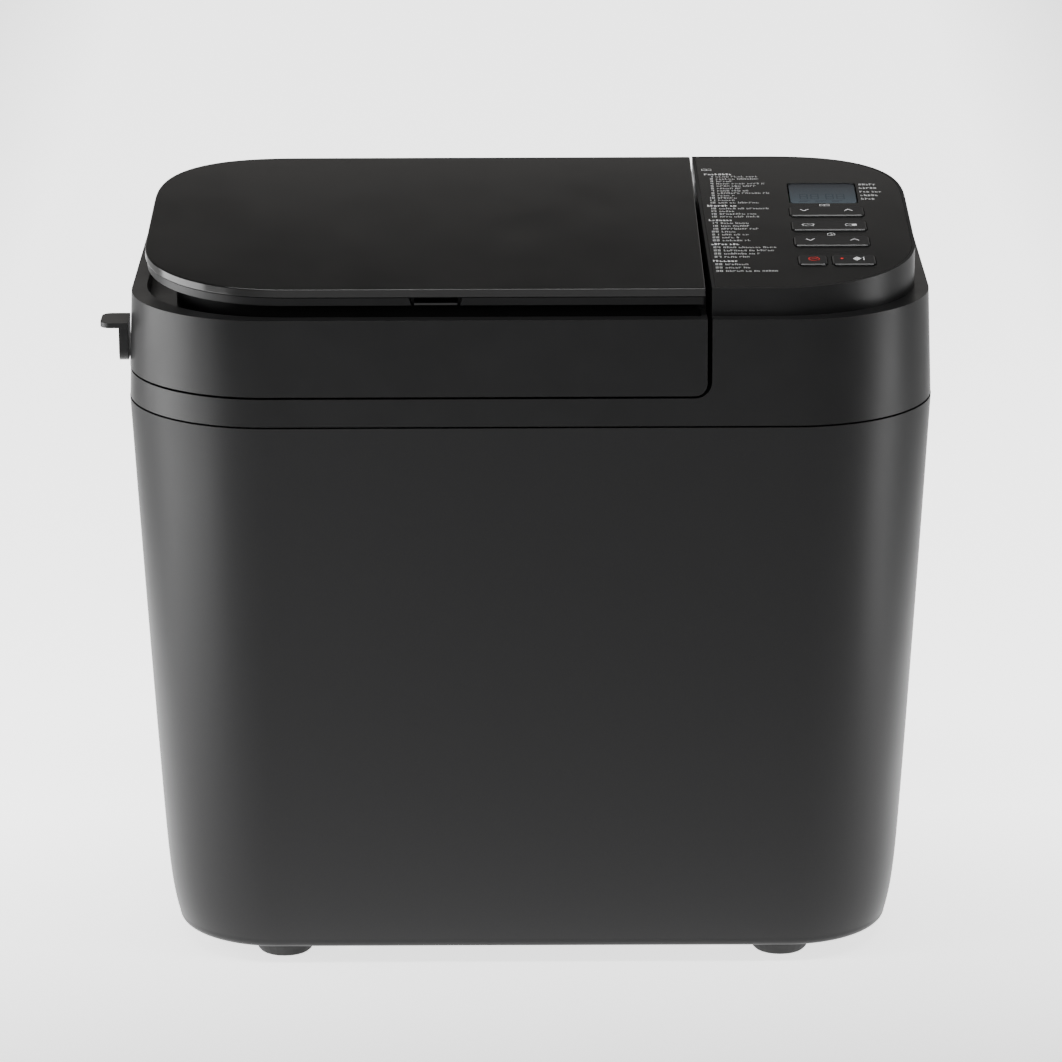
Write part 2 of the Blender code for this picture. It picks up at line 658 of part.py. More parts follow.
def build_flap(lid):
    flap = empty("flap_frame_axis", (0, FLAP_AXIS[0] - LID_AXIS[0], FLAP_AXIS[1] - LID_AXIS[1]), lid)
    back = (0, -FLAP_AXIS[0], -FLAP_AXIS[1])
    low = FLAP_PLATE
    outline = flap_outline(0.0)
    plate = [on_deck(outline, low), on_deck(outline, FLAP_EDGE), on_deck(flap_outline(FLAP_EDGE))]
    piece("flap_plate", loft(plate), "black_gloss", flap, back)
    layer_low = low + FLAP_LAYER
    outline = flap_outline(FLAP_LAYER_INSET)
    layer = [on_deck(outline, layer_low), on_deck(outline, low + GAP)]
    under = piece("flap_base", loft(layer), "black_plastic", flap, back)
    front = DECK_FRONT_Y + FLAP_LAYER_INSET
    half = CATCH_WIDTH / 2 + GAP
    z = deck_height(front)
    notch_low = (CATCH_X - half, front - 0.01, z - layer_low - 0.002)
    notch = box(notch_low, (CATCH_X + half, front + 0.006, z - low - 0.0006))
    boolean(under, cutter("cut_catch_notch", notch, flap, back))
    for number, x in enumerate(HINGE_XS):
        boolean(under, cutter(f"add_flap_knuckle_{number}", flap_knuckle(x), flap), "UNION")
        bore = rod(FLAP_PIN_RADIUS + BORE_PLAY, 0.05, "X", 12)
        boolean(under, cutter(f"cut_knuckle_{number}", bore, flap, (x, 0, 0)))
        pin_length = 2 * FLAP_KNUCKLE[0] + 0.007
        piece(f"flap_pin_{('left', 'right')[number]}", rod(FLAP_PIN_RADIUS, pin_length, "X", 12), "steel",
              lid, (x, FLAP_AXIS[0] - LID_AXIS[0], FLAP_AXIS[1] - LID_AXIS[1]))
    build_catch(flap, back, front, z - layer_low)


def flap_knuckle(x):
    """A lug under the flap, round at the pin; its axis is the origin."""
    half, radius = FLAP_KNUCKLE
    top = deck_height(FLAP_AXIS[0]) - FLAP_PLATE - FLAP_LAYER + 0.001 - FLAP_AXIS[1]
    curve = [(radius * cos(a), radius * sin(a)) for a in [pi + i * pi / 8 for i in range(9)]]
    return prism_along_x([(-radius, top), *curve, (radius, top)], x - half, x + half)


def build_catch(flap, back, front, z):
    """The thumb catch in the flap's front: a wedge whose lip stands level with the flap's edge."""
    half = CATCH_WIDTH / 2
    lip, root = front + 0.0002, front + 0.0055
    profile = [(lip, z), (root, z), (root, z + 0.0030), (front + 0.0035, z + 0.0012), (lip, z + 0.0012)]
    wedge = prism_along_x(profile, CATCH_X - half, CATCH_X + half)
    piece("flap_catch", wedge, "black_plastic", flap, back)


# ---------------------------------------------------------------- dispenser

def hopper_axis():
    """The door's hinge line, inside the hopper's back lower edge: y and z."""
    return HOPPER_Y + HOPPER_HALF[1] - HOPPER_WALL - 0.0024, HOPPER_BOTTOM + 0.0022


def build_dispenser(lid, machine):
    back = (BAKE_X, -LID_AXIS[0], -LID_AXIS[1])
    centre = (0.0, HOPPER_Y)
    outside = rounded(*HOPPER_HALF, 0.003, steps=3, centre=centre)
    inner = (HOPPER_HALF[0] - HOPPER_WALL, HOPPER_HALF[1] - HOPPER_WALL)
    inside = rounded(*inner, 0.0016, steps=3, centre=centre)
    levels = (HOPPER_BOTTOM, HOPPER_TOP)
    rings = [at_height(outside, z) for z in levels] + [at_height(inside, z) for z in reversed(levels)]
    hopper = piece("dispenser_hopper", loft(rings, closed=True), "black_plastic", lid, back)
    y, z = hopper_axis()
    bores = rod(TRUNNION_RADIUS + BORE_PLAY, 0.2, "X", 12)
    boolean(hopper, cutter("cut_trunnion_bores", bores, lid, (BAKE_X, y + back[1], z + back[2])))
    door_at = empty("door_axis", (BAKE_X, y + back[1], z + back[2]), lid)
    half_x = inner[0] - DOOR_PLAY
    front = HOPPER_Y - inner[1] + DOOR_PLAY - y
    plate = box((-half_x, front, -DOOR_THICKNESS), (half_x, 0.0, 0.0))
    door = piece("dispenser_door", plate, "engineering_plastic", door_at)
    bar_length = 2 * HOPPER_HALF[0] + 0.010
    boolean(door, cutter("add_trunnions", rod(TRUNNION_RADIUS, bar_length, "X", 12), door_at), "UNION")
    crank_x = HOPPER_HALF[0] + 0.0022
    crank = prism_along_x([(-0.0014, 0), (0.0014, 0), (0.0014, CRANK + 0.0015), (-0.0014, CRANK + 0.0015)],
                          crank_x, crank_x + 0.0025)
    boolean(door, cutter("add_crank", crank, door_at), "UNION")
    rod_x = SOLENOID_X
    rod_low = y + 0.0014 + 2 * GAP
    push = rod(0.002, LID_BACK - GAP - rod_low, "Y", 12)
    rod_at = (rod_x, (rod_low + LID_BACK - GAP) / 2 + back[1], z + CRANK + back[2])
    piece("release_rod", push, "steel", lid, rod_at)
    face = LID_BACK + 0.0002
    plunger = rod(0.002, 0.014, "Y", 12)
    piece("solenoid_plunger", plunger, "steel", machine, (rod_x, face + 0.007, z + CRANK))
    bobbin = box((-0.009, 0.0, -0.007), (0.009, 0.014, 0.009), 0.001)
    body = piece("dispenser_solenoid", bobbin, "copper", machine, (rod_x, LID_BACK + 0.0052, z + CRANK))
    bore = rod(0.0024, 0.04, "Y", 12)
    boolean(body, cutter("cut_solenoid_bore", bore, machine, (rod_x, LID_BACK, z + CRANK)))


# ---------------------------------------------------------------- baking chamber and pan

def build_chamber(axis):
    def ring(half_x, half_y, corner, z):
        return at_height(rounded(half_x, half_y, corner, steps=5), z)

    half_x, half_y = CHAMBER_HALF
    floor = 0.006
    outside = [ring(half_x - floor, half_y - floor, CHAMBER_CORNER - floor, CHAMBER_FLOOR),
               ring(half_x, half_y, CHAMBER_CORNER, CHAMBER_FLOOR + floor),
               ring(half_x, half_y, CHAMBER_CORNER, CHAMBER_TOP - SHEET),
               ring(half_x + CHAMBER_FLANGE, half_y + CHAMBER_FLANGE, CHAMBER_CORNER + CHAMBER_FLANGE,
                    CHAMBER_TOP - SHEET),
               ring(half_x + CHAMBER_FLANGE, half_y + CHAMBER_FLANGE, CHAMBER_CORNER + CHAMBER_FLANGE, CHAMBER_TOP)]
    inner_x, inner_y, inner_corner = half_x - SHEET, half_y - SHEET, CHAMBER_CORNER - SHEET
    inside = [ring(inner_x, inner_y, inner_corner, CHAMBER_TOP),
              ring(inner_x, inner_y, inner_corner, CHAMBER_FLOOR + floor),
              ring(inner_x - floor, inner_y - floor, inner_corner - floor, CHAMBER_FLOOR + SHEET)]
    chamber = piece("baking_chamber", loft(outside + inside), "aluminium", axis)
    hole = rod(0.0085, 0.02, "Z", 20)
    boolean(chamber, cutter("cut_shaft_hole", hole, axis, (0, 0, CHAMBER_FLOOR)))
    wall_x = half_x - SHEET / 2
    for number, y in enumerate((-0.016, 0.016)):
        pass_hole = rod(HEATER_RADIUS + 0.0006, 0.02, "X", 12)
        boolean(chamber, cutter(f"cut_heater_hole_{number}", pass_hole, axis, (wall_x, y, HEATER_Z)))
    boolean(chamber, cutter("cut_sensor_hole", rod(0.0033, 0.02, "X", 12), axis, (wall_x, 0.045, 0.130)))
    stem, collar = 0.003, 0.006
    profile = [(stem, -0.012), (stem, 0.0008), (collar, 0.0008), (collar, 0.004), (stem, 0.004), (stem, 0.012)]
    sensor = turned(profile, 16)
    piece("temperature_sensor", aim(sensor, "X"), "steel", axis, (half_x, 0.045, 0.130))
    build_heater(axis)


def build_heater(axis):
    """A sheathed element round the chamber, whose two ends leave through its right wall."""
    half_x, half_y = HEATER_HALF
    corner = 0.020
    loop = [(x, y) for x, y in rounded(half_x, half_y, corner, steps=4) if not x > half_x - 0.001]
    tail = 0.012
    end_x = CHAMBER_HALF[0] + tail
    route = [(end_x, 0.016), (half_x + 0.004, 0.016), (half_x + 0.001, 0.018), (half_x, 0.022)]
    route += [(half_x, half_y - corner), *loop, (half_x, corner - half_y)]
    route += [(half_x, -0.022), (half_x + 0.001, -0.018), (half_x + 0.004, -0.016), (end_x, -0.016)]
    curve = bpy.data.curves.new("heater_path", "CURVE")
    curve.dimensions = "3D"
    curve.bevel_depth = HEATER_RADIUS
    curve.bevel_resolution = 2
    curve.use_fill_caps = True
    line = curve.splines.new("POLY")
    line.points.add(len(route) - 1)
    for point, (x, y) in zip(line.points, route):
        point.co = (x, y, 0.0, 1.0)
    heater = bpy.data.objects.new("heater_element", curve)
    curve.materials.append(material("heater_steel"))
    heater.location = (0, 0, HEATER_Z)
    heater.parent = axis
    bpy.context.scene.collection.objects.link(heater)
    clip = box((-0.005, -0.0012, -0.003), (0.005, 0.0012, 0.003), 0.0004)
    reach = CHAMBER_HALF[1] - SHEET - GAP - 0.0012
    for name, side in (("front", -1), ("back", 1)):
        piece(f"heater_clip_{name}", clip.copy(), "steel", axis, (0, side * reach, HEATER_Z))


def build_pan(axis):
    """The removable pan on its locking foot, with the bail folded down in front."""
    def ring(inset, z, extra=0.0):
        half_x, half_y = PAN_HALF[0] - inset + extra, PAN_HALF[1] - inset + extra
        return at_height(rounded(half_x, half_y, PAN_CORNER - inset / 2 + extra, steps=6), z)

    def wall(z, offset):
        return PAN_DRAFT * (PAN_TOP - z) / (PAN_TOP - PAN_BOTTOM) + offset

    bend = 0.008
    lip = 0.0016
    outside = [ring(wall(PAN_BOTTOM, bend * 0.6), PAN_BOTTOM),
               ring(wall(PAN_BOTTOM, bend * 0.15), PAN_BOTTOM + bend * 0.3),
               ring(wall(PAN_BOTTOM + bend, 0), PAN_BOTTOM + bend), ring(wall(PAN_TOP - lip, 0), PAN_TOP - 2 * lip),
               ring(-lip, PAN_TOP - lip), ring(-lip, PAN_TOP)]
    inside = [ring(PAN_WALL, PAN_TOP), ring(wall(PAN_BOTTOM + bend, PAN_WALL), PAN_BOTTOM + bend),
              ring(wall(PAN_BOTTOM, PAN_WALL + bend * 0.6), PAN_BOTTOM + PAN_WALL)]
    pan = piece("bread_pan", loft(outside + inside), "nonstick", axis)
    boolean(pan, cutter("cut_pan_shaft_hole", rod(0.0063, 0.02, "Z", 20), axis, (0, 0, PAN_BOTTOM)))
    pivot_x = PAN_HALF[0] - wall(BAIL_PIVOT_Z, 0)
    for number, side in enumerate((-1, 1)):
        boss = rod(0.0022, 0.012, "X", 12)
        boss_at = (side * (pivot_x + 0.004), 0, BAIL_PIVOT_Z)
        boolean(pan, cutter(f"add_bail_boss_{number}", boss, axis, boss_at), "UNION")
    trim = rounded(PAN_HALF[0] - 0.004, PAN_HALF[1] - 0.004, PAN_CORNER, steps=4)
    boolean(pan, cutter("cut_boss_ends", loft([at_height(trim, 0.20), at_height(trim, 0.23)]), axis))
    foot = [(FOOT_RING_RADIUS, 0.0526), (FOOT_RING_RADIUS, PAN_BOTTOM - GAP)]
    web, inner = 0.0745, FOOT_RING_RADIUS - 0.004
    foot += [(0.011, PAN_BOTTOM - GAP), (0.011, web), (inner, web), (inner, 0.0526)]
    piece("pan_foot", turned_ring(foot, 32), "aluminium", axis)
    build_bail(axis, pivot_x)


def build_bail(axis, pivot_x):
    """The carrying handle: a flat-ended loop with an eye on each side, lying forward when folded."""
    hinge = empty("bail_axis", (0, 0, BAIL_PIVOT_Z), axis)
    eye_x = pivot_x + 0.0055
    corner = 0.026
    corners = rounded(eye_x, BAIL_REACH, corner, steps=5)
    route = [(-eye_x, -0.004)] + [(x, y) for x, y in corners if y < 0] + [(eye_x, -0.004)]
    half_t, half_h = BAIL_RADIUS, 0.0035
    grow = [rounded_offset(route, side * half_t) for side in (1, -1)]
    plan = grow[0] + list(reversed(grow[1]))
    strip = loft([at_height(plan, -half_h), at_height(plan, half_h)])
    handle = piece("pan_handle", strip, "steel", hinge)
    for number, side in enumerate((-1, 1)):
        eye = rod(0.006, 2 * half_t + 0.0006, "X", 16)
        boolean(handle, cutter(f"add_eye_{number}", eye, hinge, (side * eye_x, 0, 0)), "UNION")
        hole = rod(0.0022 + BORE_PLAY, 0.02, "X", 12)
        boolean(handle, cutter(f"cut_eye_{number}", hole, hinge, (side * eye_x, 0, 0)))


def rounded_offset(route, distance):
    """Shift an open plan route sideways by distance, square to its local direction."""
    shifted = []
    for i, (x, y) in enumerate(route):
        before, after = route[max(i - 1, 0)], route[min(i + 1, len(route) - 1)]
        along = Vector((after[0] - before[0], after[1] - before[1])).normalized()
        shifted.append((x + along.y * distance, y - along.x * distance))
    return shifted


def build_blade(axis):
    """The pan's own shaft with its two-pronged coupling, and the paddle that sits on it."""
    spin = empty("blade_axis", (0, 0, 0), axis)
    seat = PAN_BOTTOM + PAN_WALL
    flange, barrel, tip = 0.0090, 0.0058, 0.0035
    profile = [(flange, 0.0680), (flange, 0.0730), (barrel, 0.0730), (barrel, seat + 0.002), (tip, seat + 0.002),
               (tip, seat + 0.026)]
    spindle = piece("pan_shaft", turned(profile, 20), "steel", spin)
    slot = box((-0.0045, -0.02, 0.060), (0.0045, 0.02, 0.0712))
    boolean(spindle, cutter("cut_coupling_slot", slot, spin))
    low, top, bore = seat + 0.0025, seat + 0.024, 0.0038
    hub = turned_ring([(0.0085, low), (0.0065, top), (bore, top), (bore, low)], 20)
    blade = piece("kneading_blade", hub, "nonstick", spin)
    paddle = box((0.0055, -0.0016, seat + 0.003), (0.036, 0.0016, seat + 0.019), 0.0007)
    boolean(blade, cutter("add_paddle", paddle, spin), "UNION")


# ---------------------------------------------------------------- drive train

def build_drive(axis, machine):
    low, top, inner = CHAMBER_FLOOR + SHEET + GAP, 0.0600, FOOT_RING_RADIUS + 0.0006
    mount = [(MOUNT_RADIUS, low), (MOUNT_RADIUS, top), (inner, top), (inner, low)]
    piece("pan_mount", turned_ring(mount, 32), "aluminium", axis)
    housing = [(0.014, 0.032), (0.014, 0.044), (0.026, 0.044), (0.026, CHAMBER_FLOOR - GAP)]
    housing += [(SHAFT_RADIUS + 0.0004, CHAMBER_FLOOR - GAP), (SHAFT_RADIUS + 0.0004, 0.032)]
    piece("bearing_housing", turned_ring(housing, 24), "aluminium", axis)
    piece("drive_shaft", turned([(SHAFT_RADIUS, 0.0145), (SHAFT_RADIUS, 0.064)], 20), "steel", axis)
    wheel = pulley(DRIVE_PULLEY_RADIUS, SHAFT_RADIUS + GAP, 40)
    piece("drive_pulley", wheel, "engineering_plastic", axis, (0, 0, BELT_Z))
    coupling = [(0.0090, 0.0575), (0.0090, 0.0670), (0.0030, 0.0670), (0.0030, 0.0645), (SHAFT_RADIUS + GAP, 0.0645),
                (SHAFT_RADIUS + GAP, 0.0575)]
    driver = piece("drive_coupling", turned_ring(coupling, 20), "steel", axis)
    bar = box((-0.0022, -0.0088, 0.0660), (0.0022, 0.0088, 0.0700))
    boolean(driver, cutter("add_coupling_bar", bar, axis), "UNION")
    motor = empty("motor_axis", (MOTOR_X, 0, 0), machine)
    build_motor(motor)
    build_belt(machine)


def pulley(radius, bore, steps):
    """A flat belt pulley with two low flanges, centred on the belt."""
    half = BELT_HEIGHT / 2 + GAP
    rim = 0.0012
    flange = 0.0015
    profile = [(radius + flange, -half - rim), (radius + flange, -half), (radius, -half), (radius, half),
               (radius + flange, half), (radius + flange, half + rim), (bore, half + rim), (bore, -half - rim)]
    return turned_ring(profile, steps)


def build_motor(motor):
    case = [(MOTOR_RADIUS - 0.003, MOTOR_BOTTOM), (MOTOR_RADIUS, MOTOR_BOTTOM + 0.003),
            (MOTOR_RADIUS, MOTOR_TOP - 0.003), (MOTOR_RADIUS - 0.003, MOTOR_TOP), (0.0034, MOTOR_TOP),
            (0.0034, MOTOR_BOTTOM)]
    piece("motor_case", turned_ring(case, 32), "steel", motor)
    piece("motor_shaft", turned([(0.003, 0.0145), (0.003, MOTOR_TOP + 0.006)], 16), "steel", motor)
    small = pulley(MOTOR_PULLEY_RADIUS, 0.003 + GAP, 20)
    piece("motor_pulley", small, "engineering_plastic", motor, (0, 0, BELT_Z))
    plate = box((-0.046, -0.046, MOTOR_BOTTOM - 0.0025), (0.046, 0.046, MOTOR_BOTTOM - GAP))
    bracket = piece("motor_bracket", plate, "steel", motor)
    boolean(bracket, cutter("cut_bracket_hole", rod(0.009, 0.02, "Z", 20), motor, (0, 0, MOTOR_BOTTOM)))
    for number, (x, y) in enumerate(((-1, -1), (1, -1), (1, 1), (-1, 1))):
        leg = box((x * 0.040 - 0.004, y * 0.040 - 0.004, SHELL_BOTTOM + SHELL_WALL + GAP),
                  (x * 0.040 + 0.004, y * 0.040 + 0.004, MOTOR_BOTTOM - 0.001))
        boolean(bracket, cutter(f"add_bracket_leg_{number}", leg, motor), "UNION")


def build_belt(machine):
    """A flat belt: two straight runs tangent to both pulleys, as one closed loop."""
    span = MOTOR_X - BAKE_X

    def loop(grow):
        big, small = DRIVE_PULLEY_RADIUS + GAP + grow, MOTOR_PULLEY_RADIUS + GAP + grow
        tilt = acos((big - small) / span)
        around_small = [(MOTOR_X + small * cos(a), small * sin(a)) for a in [-tilt + i * tilt / 5 for i in range(11)]]
        sweep = 2 * pi - 2 * tilt
        around_big = [(BAKE_X + big * cos(a), big * sin(a)) for a in [tilt + i * sweep / 24 for i in range(25)]]
        return around_small + around_big

    half = BELT_HEIGHT / 2
    outside, inside = loop(BELT_THICKNESS), loop(0.0)
    rings = [at_height(outside, -half), at_height(outside, half), at_height(inside, half), at_height(inside, -half)]
    piece("drive_belt", loft(rings, closed=True), "rubber", machine, (0, 0, BELT_Z))


def build_electrics(machine):
    board = box((0.084, 0.060, 0.130), (0.164, 0.0616, 0.230))
    piece("power_board", board, "board_green", machine)
    piece("relay", box((0.100, 0.040, 0.160), (0.122, 0.0597, 0.176), 0.001), "key_black", machine)
    can = aim(turned([(0.0110, 0.0), (0.0125, 0.002), (0.0125, 0.043), (0.0110, 0.045)], 20), "X")
    piece("motor_capacitor", can, "steel", machine, (0.105, 0.040, 0.205))
    gland = turned_ring([(0.0070, -0.018), (0.0070, 0.0), (0.0115, 0.0), (0.0105, 0.006), (0.0042, 0.006),
                         (0.0042, -0.018)], 20)
    back_y = HALF_Y - shell_inset(0.040)
    piece("cord_gland", aim(gland, "Y"), "rubber", machine, (0.140, back_y + 0.0012, 0.040))


def build_machine():
    clear_scene()
    machine = empty("machine", (MACHINE_X, 0, 0))
    bake_axis = empty("bake_axis", (BAKE_X, 0, 0), machine)
    build_outer_shell(machine)
    build_base(machine)
    frame = build_upper_frame(machine)
    build_controls(machine, frame)
    lid = build_lid(machine)
    build_flap(lid)
    build_dispenser(lid, machine)
    build_chamber(bake_axis)
    build_pan(bake_axis)
    build_blade(bake_axis)
    build_drive(bake_axis, machine)
    build_electrics(machine)
    bpy.context.view_layer.update()


build_machine()
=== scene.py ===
"""Looks of the bread machine: fine shells, printed panel, finishes, floor, lights and camera.

The fine shells repeat the CAD pieces' outlines with more points. Lengths are in metres.
"""

import random
from math import cos, pi, radians, sin, tan

import bmesh
import bpy
from mathutils import Matrix, Vector


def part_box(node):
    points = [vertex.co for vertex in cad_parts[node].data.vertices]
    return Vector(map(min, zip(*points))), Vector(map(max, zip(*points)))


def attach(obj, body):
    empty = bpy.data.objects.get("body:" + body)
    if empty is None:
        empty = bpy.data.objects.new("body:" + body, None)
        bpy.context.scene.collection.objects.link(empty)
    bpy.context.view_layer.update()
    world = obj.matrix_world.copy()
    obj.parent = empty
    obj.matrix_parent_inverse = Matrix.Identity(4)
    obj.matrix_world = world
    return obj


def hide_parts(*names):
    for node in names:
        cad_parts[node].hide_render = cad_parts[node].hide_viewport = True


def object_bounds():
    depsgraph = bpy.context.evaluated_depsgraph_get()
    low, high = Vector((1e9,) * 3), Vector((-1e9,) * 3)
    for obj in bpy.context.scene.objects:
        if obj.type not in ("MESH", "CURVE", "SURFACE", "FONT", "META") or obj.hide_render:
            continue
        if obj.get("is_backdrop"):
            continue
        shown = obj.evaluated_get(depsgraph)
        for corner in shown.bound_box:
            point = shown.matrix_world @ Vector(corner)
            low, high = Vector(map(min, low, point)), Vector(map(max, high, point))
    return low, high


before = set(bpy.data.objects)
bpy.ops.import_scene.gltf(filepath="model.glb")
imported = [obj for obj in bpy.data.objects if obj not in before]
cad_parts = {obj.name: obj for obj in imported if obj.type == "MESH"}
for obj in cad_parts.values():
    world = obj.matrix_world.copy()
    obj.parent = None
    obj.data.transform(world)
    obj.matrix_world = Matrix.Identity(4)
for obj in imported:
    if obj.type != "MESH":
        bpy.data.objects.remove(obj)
cad_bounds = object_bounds()

# Places that come from the frame.
SHELL_LOW, SHELL_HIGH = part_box("outer_shell")
LID_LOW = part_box("lid_body")[0]
HANDLE_LOW, HANDLE_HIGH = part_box("lid_handle")
PAN_LOW, PAN_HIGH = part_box("bread_pan")
MACHINE_X = (SHELL_LOW.x + SHELL_HIGH.x) / 2
HALF_X = (SHELL_HIGH.x - SHELL_LOW.x) / 2
HALF_Y = (SHELL_HIGH.y - SHELL_LOW.y) / 2
SHELL_BOTTOM = SHELL_LOW.z
SEAM = SHELL_HIGH.z
BAKE_X = (PAN_LOW.x + PAN_HIGH.x) / 2 - MACHINE_X
LID_BACK = 0.101
LID_BOTTOM = LID_LOW.z

# Housing, lid, flap and panel, as in the CAD.
GAP = 0.0003
CORNER = 0.070
RIM = 0.334
RIM_INSET = 0.0020
TAPER = 0.0157
BULGE = 0.00035
TUCK = 0.0045
TUCK_POWER = 19
BOTTOM_ROUND = 0.0045
SHELL_WALL = 0.0025
FRAME_WALL = 0.003
LID_WALL = 0.0025
DECK_FRONT = 0.3471
DECK_TILT = radians(4.6)
DECK_HALF_X = 0.1885
DECK_FRONT_Y = -0.117
DECK_BACK_Y = 0.096
DECK_CORNER = 0.074
DECK_SQUARENESS = (2.75, 2.2)
PANEL_BORDER = 0.0015
PANEL_THICKNESS = 0.0020
DECK_THICKNESS = 0.0045
LID_RIGHT_FRONT = 0.0847
LID_RIGHT_BACK = 0.0820
LID_CORNER = 0.006
SPLIT_GAP = 0.0023
LID_SEAM_GAP = 0.0012
FLAP_PLATE = 0.0043
FLAP_LAYER = 0.0040
FLAP_LAYER_INSET = 0.0010
FLAP_SIDE_INSET = 0.0008
PLATEAU_INSET = 0.015
LEDGE_INSET = 0.0006
LEDGE_DEPTH = 0.009
LEDGE_END = 0.070
CATCH_X = -0.0452
CATCH_WIDTH = 0.025
HINGE_XS = (-0.125, 0.035)
LID_AXIS = (0.113, 0.334)
LID_KNUCKLE = (0.010, 0.006)
FLAP_AXIS = (0.0915, 0.350)
FLAP_KNUCKLE = (0.007, 0.0036)
LID_BORE = 0.0023
FLAP_BORE = 0.0016
MOUTH_HALF = (0.105, 0.087)
MOUTH_CORNER = 0.028
HOPPER_Y = -0.018
HOPPER_HALF = (0.0463, 0.0343)
PLUNGER_HOLE = (-0.001, 0.3055)
PLUNGER_BORE = 0.0026
VENT_X = (-0.150, -0.080)
VENT_ROWS = 5
VENT_LOW = 0.060
VENT_PITCH = 0.014
VENT_HEIGHT = 0.005
GLAND_BORE = 0.0075
GLAND_PLACE = (0.140, 0.115, 0.040)
KEY_DEPTH = 0.0146
KEY_PLAY = 0.0004
KEY_PROUD = 0.0007
WIDE_KEYS = {"menu_key": 0.0018, "size_key": -0.0214, "time_key": -0.0460}
WIDE_KEY_X = 0.1478
WIDE_KEY_WIDTH = 0.0367
PUSH_KEYS = {"stop_key": (0.1370, 0.0137), "start_key": (0.15695, 0.0207)}
PUSH_KEY_Y = -0.0755
DISPLAY_CENTRE = (0.1473, 0.0331)
DISPLAY_SIZE = (0.0338, 0.0330)

# Fineness of the outlines, soft edges, and the shadow line over the shell. The gap between flap and pod
# closes towards the back, by a lean on each side of it.
STEPS = 26
EDGE = 0.0006
CREASE = 32
KEY_EDGE = 0.00035
NODE_EDGE = 0.0003
SEAM_LINE = 0.0009
POD_LEAN = 0.0010
FLAP_LEAN = 0.0012

# Reach of cutting shapes that pass beyond the machine.
CUT = 0.4

# Print on the panel: programme list from back to front.
LIST_LEFT = 0.0887
NUMBER_RIGHT = 0.0934
WORD_LEFT = 0.0945
LIST_GROUPS = (12, 4, 7, 4, 3)
HEADINGS = (0.0650, 0.0124, -0.0111, -0.0493, -0.0755)
LIST_END = -0.0975
HEADING_SPACE = 1.3
HEADING_SIZE = 0.0027
PRINT_SIZE = 0.0025
PHASES = 5
PHASE_LEFT = 0.1662
PHASE_TOP = 0.0470
PHASE_PITCH = 0.0060
INK_PROUD = 0.00003
INK_THICKNESS = 0.00004

# Camera: downward pitch, distance from the aiming point, its height, and a slight roll.
CAMERA_PITCH = radians(16.506)
CAMERA_DISTANCE = 2.7021
CAMERA_AIM_Z = 0.1926
CAMERA_ROLL = 0.0034
CAMERA_LENS = 180.8
SENSOR = 36.0

# Floor: its glow in the middle and far out, and where it fades.
FLOOR_GLOW = 3.2
FLOOR_DIM = 0.45
FLOOR_FADE_X = (0.38, 0.75)
FLOOR_FADE_Y = (-0.40, 0.12)


# ---------------------------------------------------------------- outlines

def rounded(half_x, half_y, radius, squareness=(2.0, 2.0), steps=STEPS, centre=(0.0, 0.0)):
    """Anticlockwise rounded rectangle; a squareness above 2 fills its back or its front corners out."""
    points = []
    for quarter, (side_x, side_y) in enumerate(((1, 1), (-1, 1), (-1, -1), (1, -1))):
        power = 2 / squareness[0 if side_y > 0 else 1]
        for step in range(steps + 1):
            angle = (quarter + step / steps) * pi / 2
            across = abs(cos(angle)) ** power * side_x
            along = abs(sin(angle)) ** power * side_y
            x = centre[0] + side_x * (half_x - radius) + across * radius
            y = centre[1] + side_y * (half_y - radius) + along * radius
            points.append((x, y))
    return points


def circle(radius, steps=32, centre=(0.0, 0.0)):
    angles = [2 * pi * i / steps for i in range(steps)]
    return [(centre[0] + radius * cos(a), centre[1] + radius * sin(a)) for a in angles]


def at_height(points, z):
    return [(x, y, z) for x, y in points]


def deck_height(y):
    return DECK_FRONT + (y + HALF_Y) * tan(DECK_TILT)


def on_deck(points, below=0.0):
    """Lift plan points to the sloping deck, or to a plane straight below it."""
    return [(x, y, deck_height(y) - below) for x, y in points]


def body_ring(inset, z):
    return at_height(rounded(HALF_X - inset, HALF_Y - inset, CORNER - inset), z)


def deck_outline(inset):
    half_y = (DECK_BACK_Y - DECK_FRONT_Y) / 2
    centre = (0.0, (DECK_BACK_Y + DECK_FRONT_Y) / 2)
    return rounded(DECK_HALF_X - inset, half_y - inset, DECK_CORNER - inset, DECK_SQUARENESS, centre=centre)


def split_x(y):
    """The lid's right edge, which leans a little to the left towards the back."""
    return LID_RIGHT_FRONT + (LID_RIGHT_BACK - LID_RIGHT_FRONT) / (LID_BACK + HALF_Y) * (y + HALF_Y)


def share_back(y):
    """How far back a place is along the split: 0 at the front face, 1 at the lid's back."""
    return (y + HALF_Y) / (LID_BACK + HALF_Y)


def clip_right(points, wall=SPLIT_GAP + FRAME_WALL):
    kept = [(x, y) for x, y in points if x > LID_RIGHT_FRONT]
    back, front = kept[:len(kept) // 2], kept[len(kept) // 2:]
    edge = [(split_x(y) + wall - POD_LEAN * share_back(y), y) for y in (back[-1][1], front[0][1])]
    return back + edge + front


def flap_outline(inset):
    points = [(x, y) for x, y in deck_outline(inset) if x < LID_RIGHT_FRONT]
    back, front = max(y for x, y in points), min(y for x, y in points)
    side = FLAP_SIDE_INSET + inset
    corner = [(split_x(y) - side + FLAP_LEAN * share_back(y), y) for y in (front, back)]
    return points + corner


# ---------------------------------------------------------------- meshes

def finish_mesh(shape):
    bmesh.ops.recalc_face_normals(shape, faces=shape.faces)
    mesh = bpy.data.meshes.new("shape")
    shape.to_mesh(mesh)
    shape.free()
    return mesh


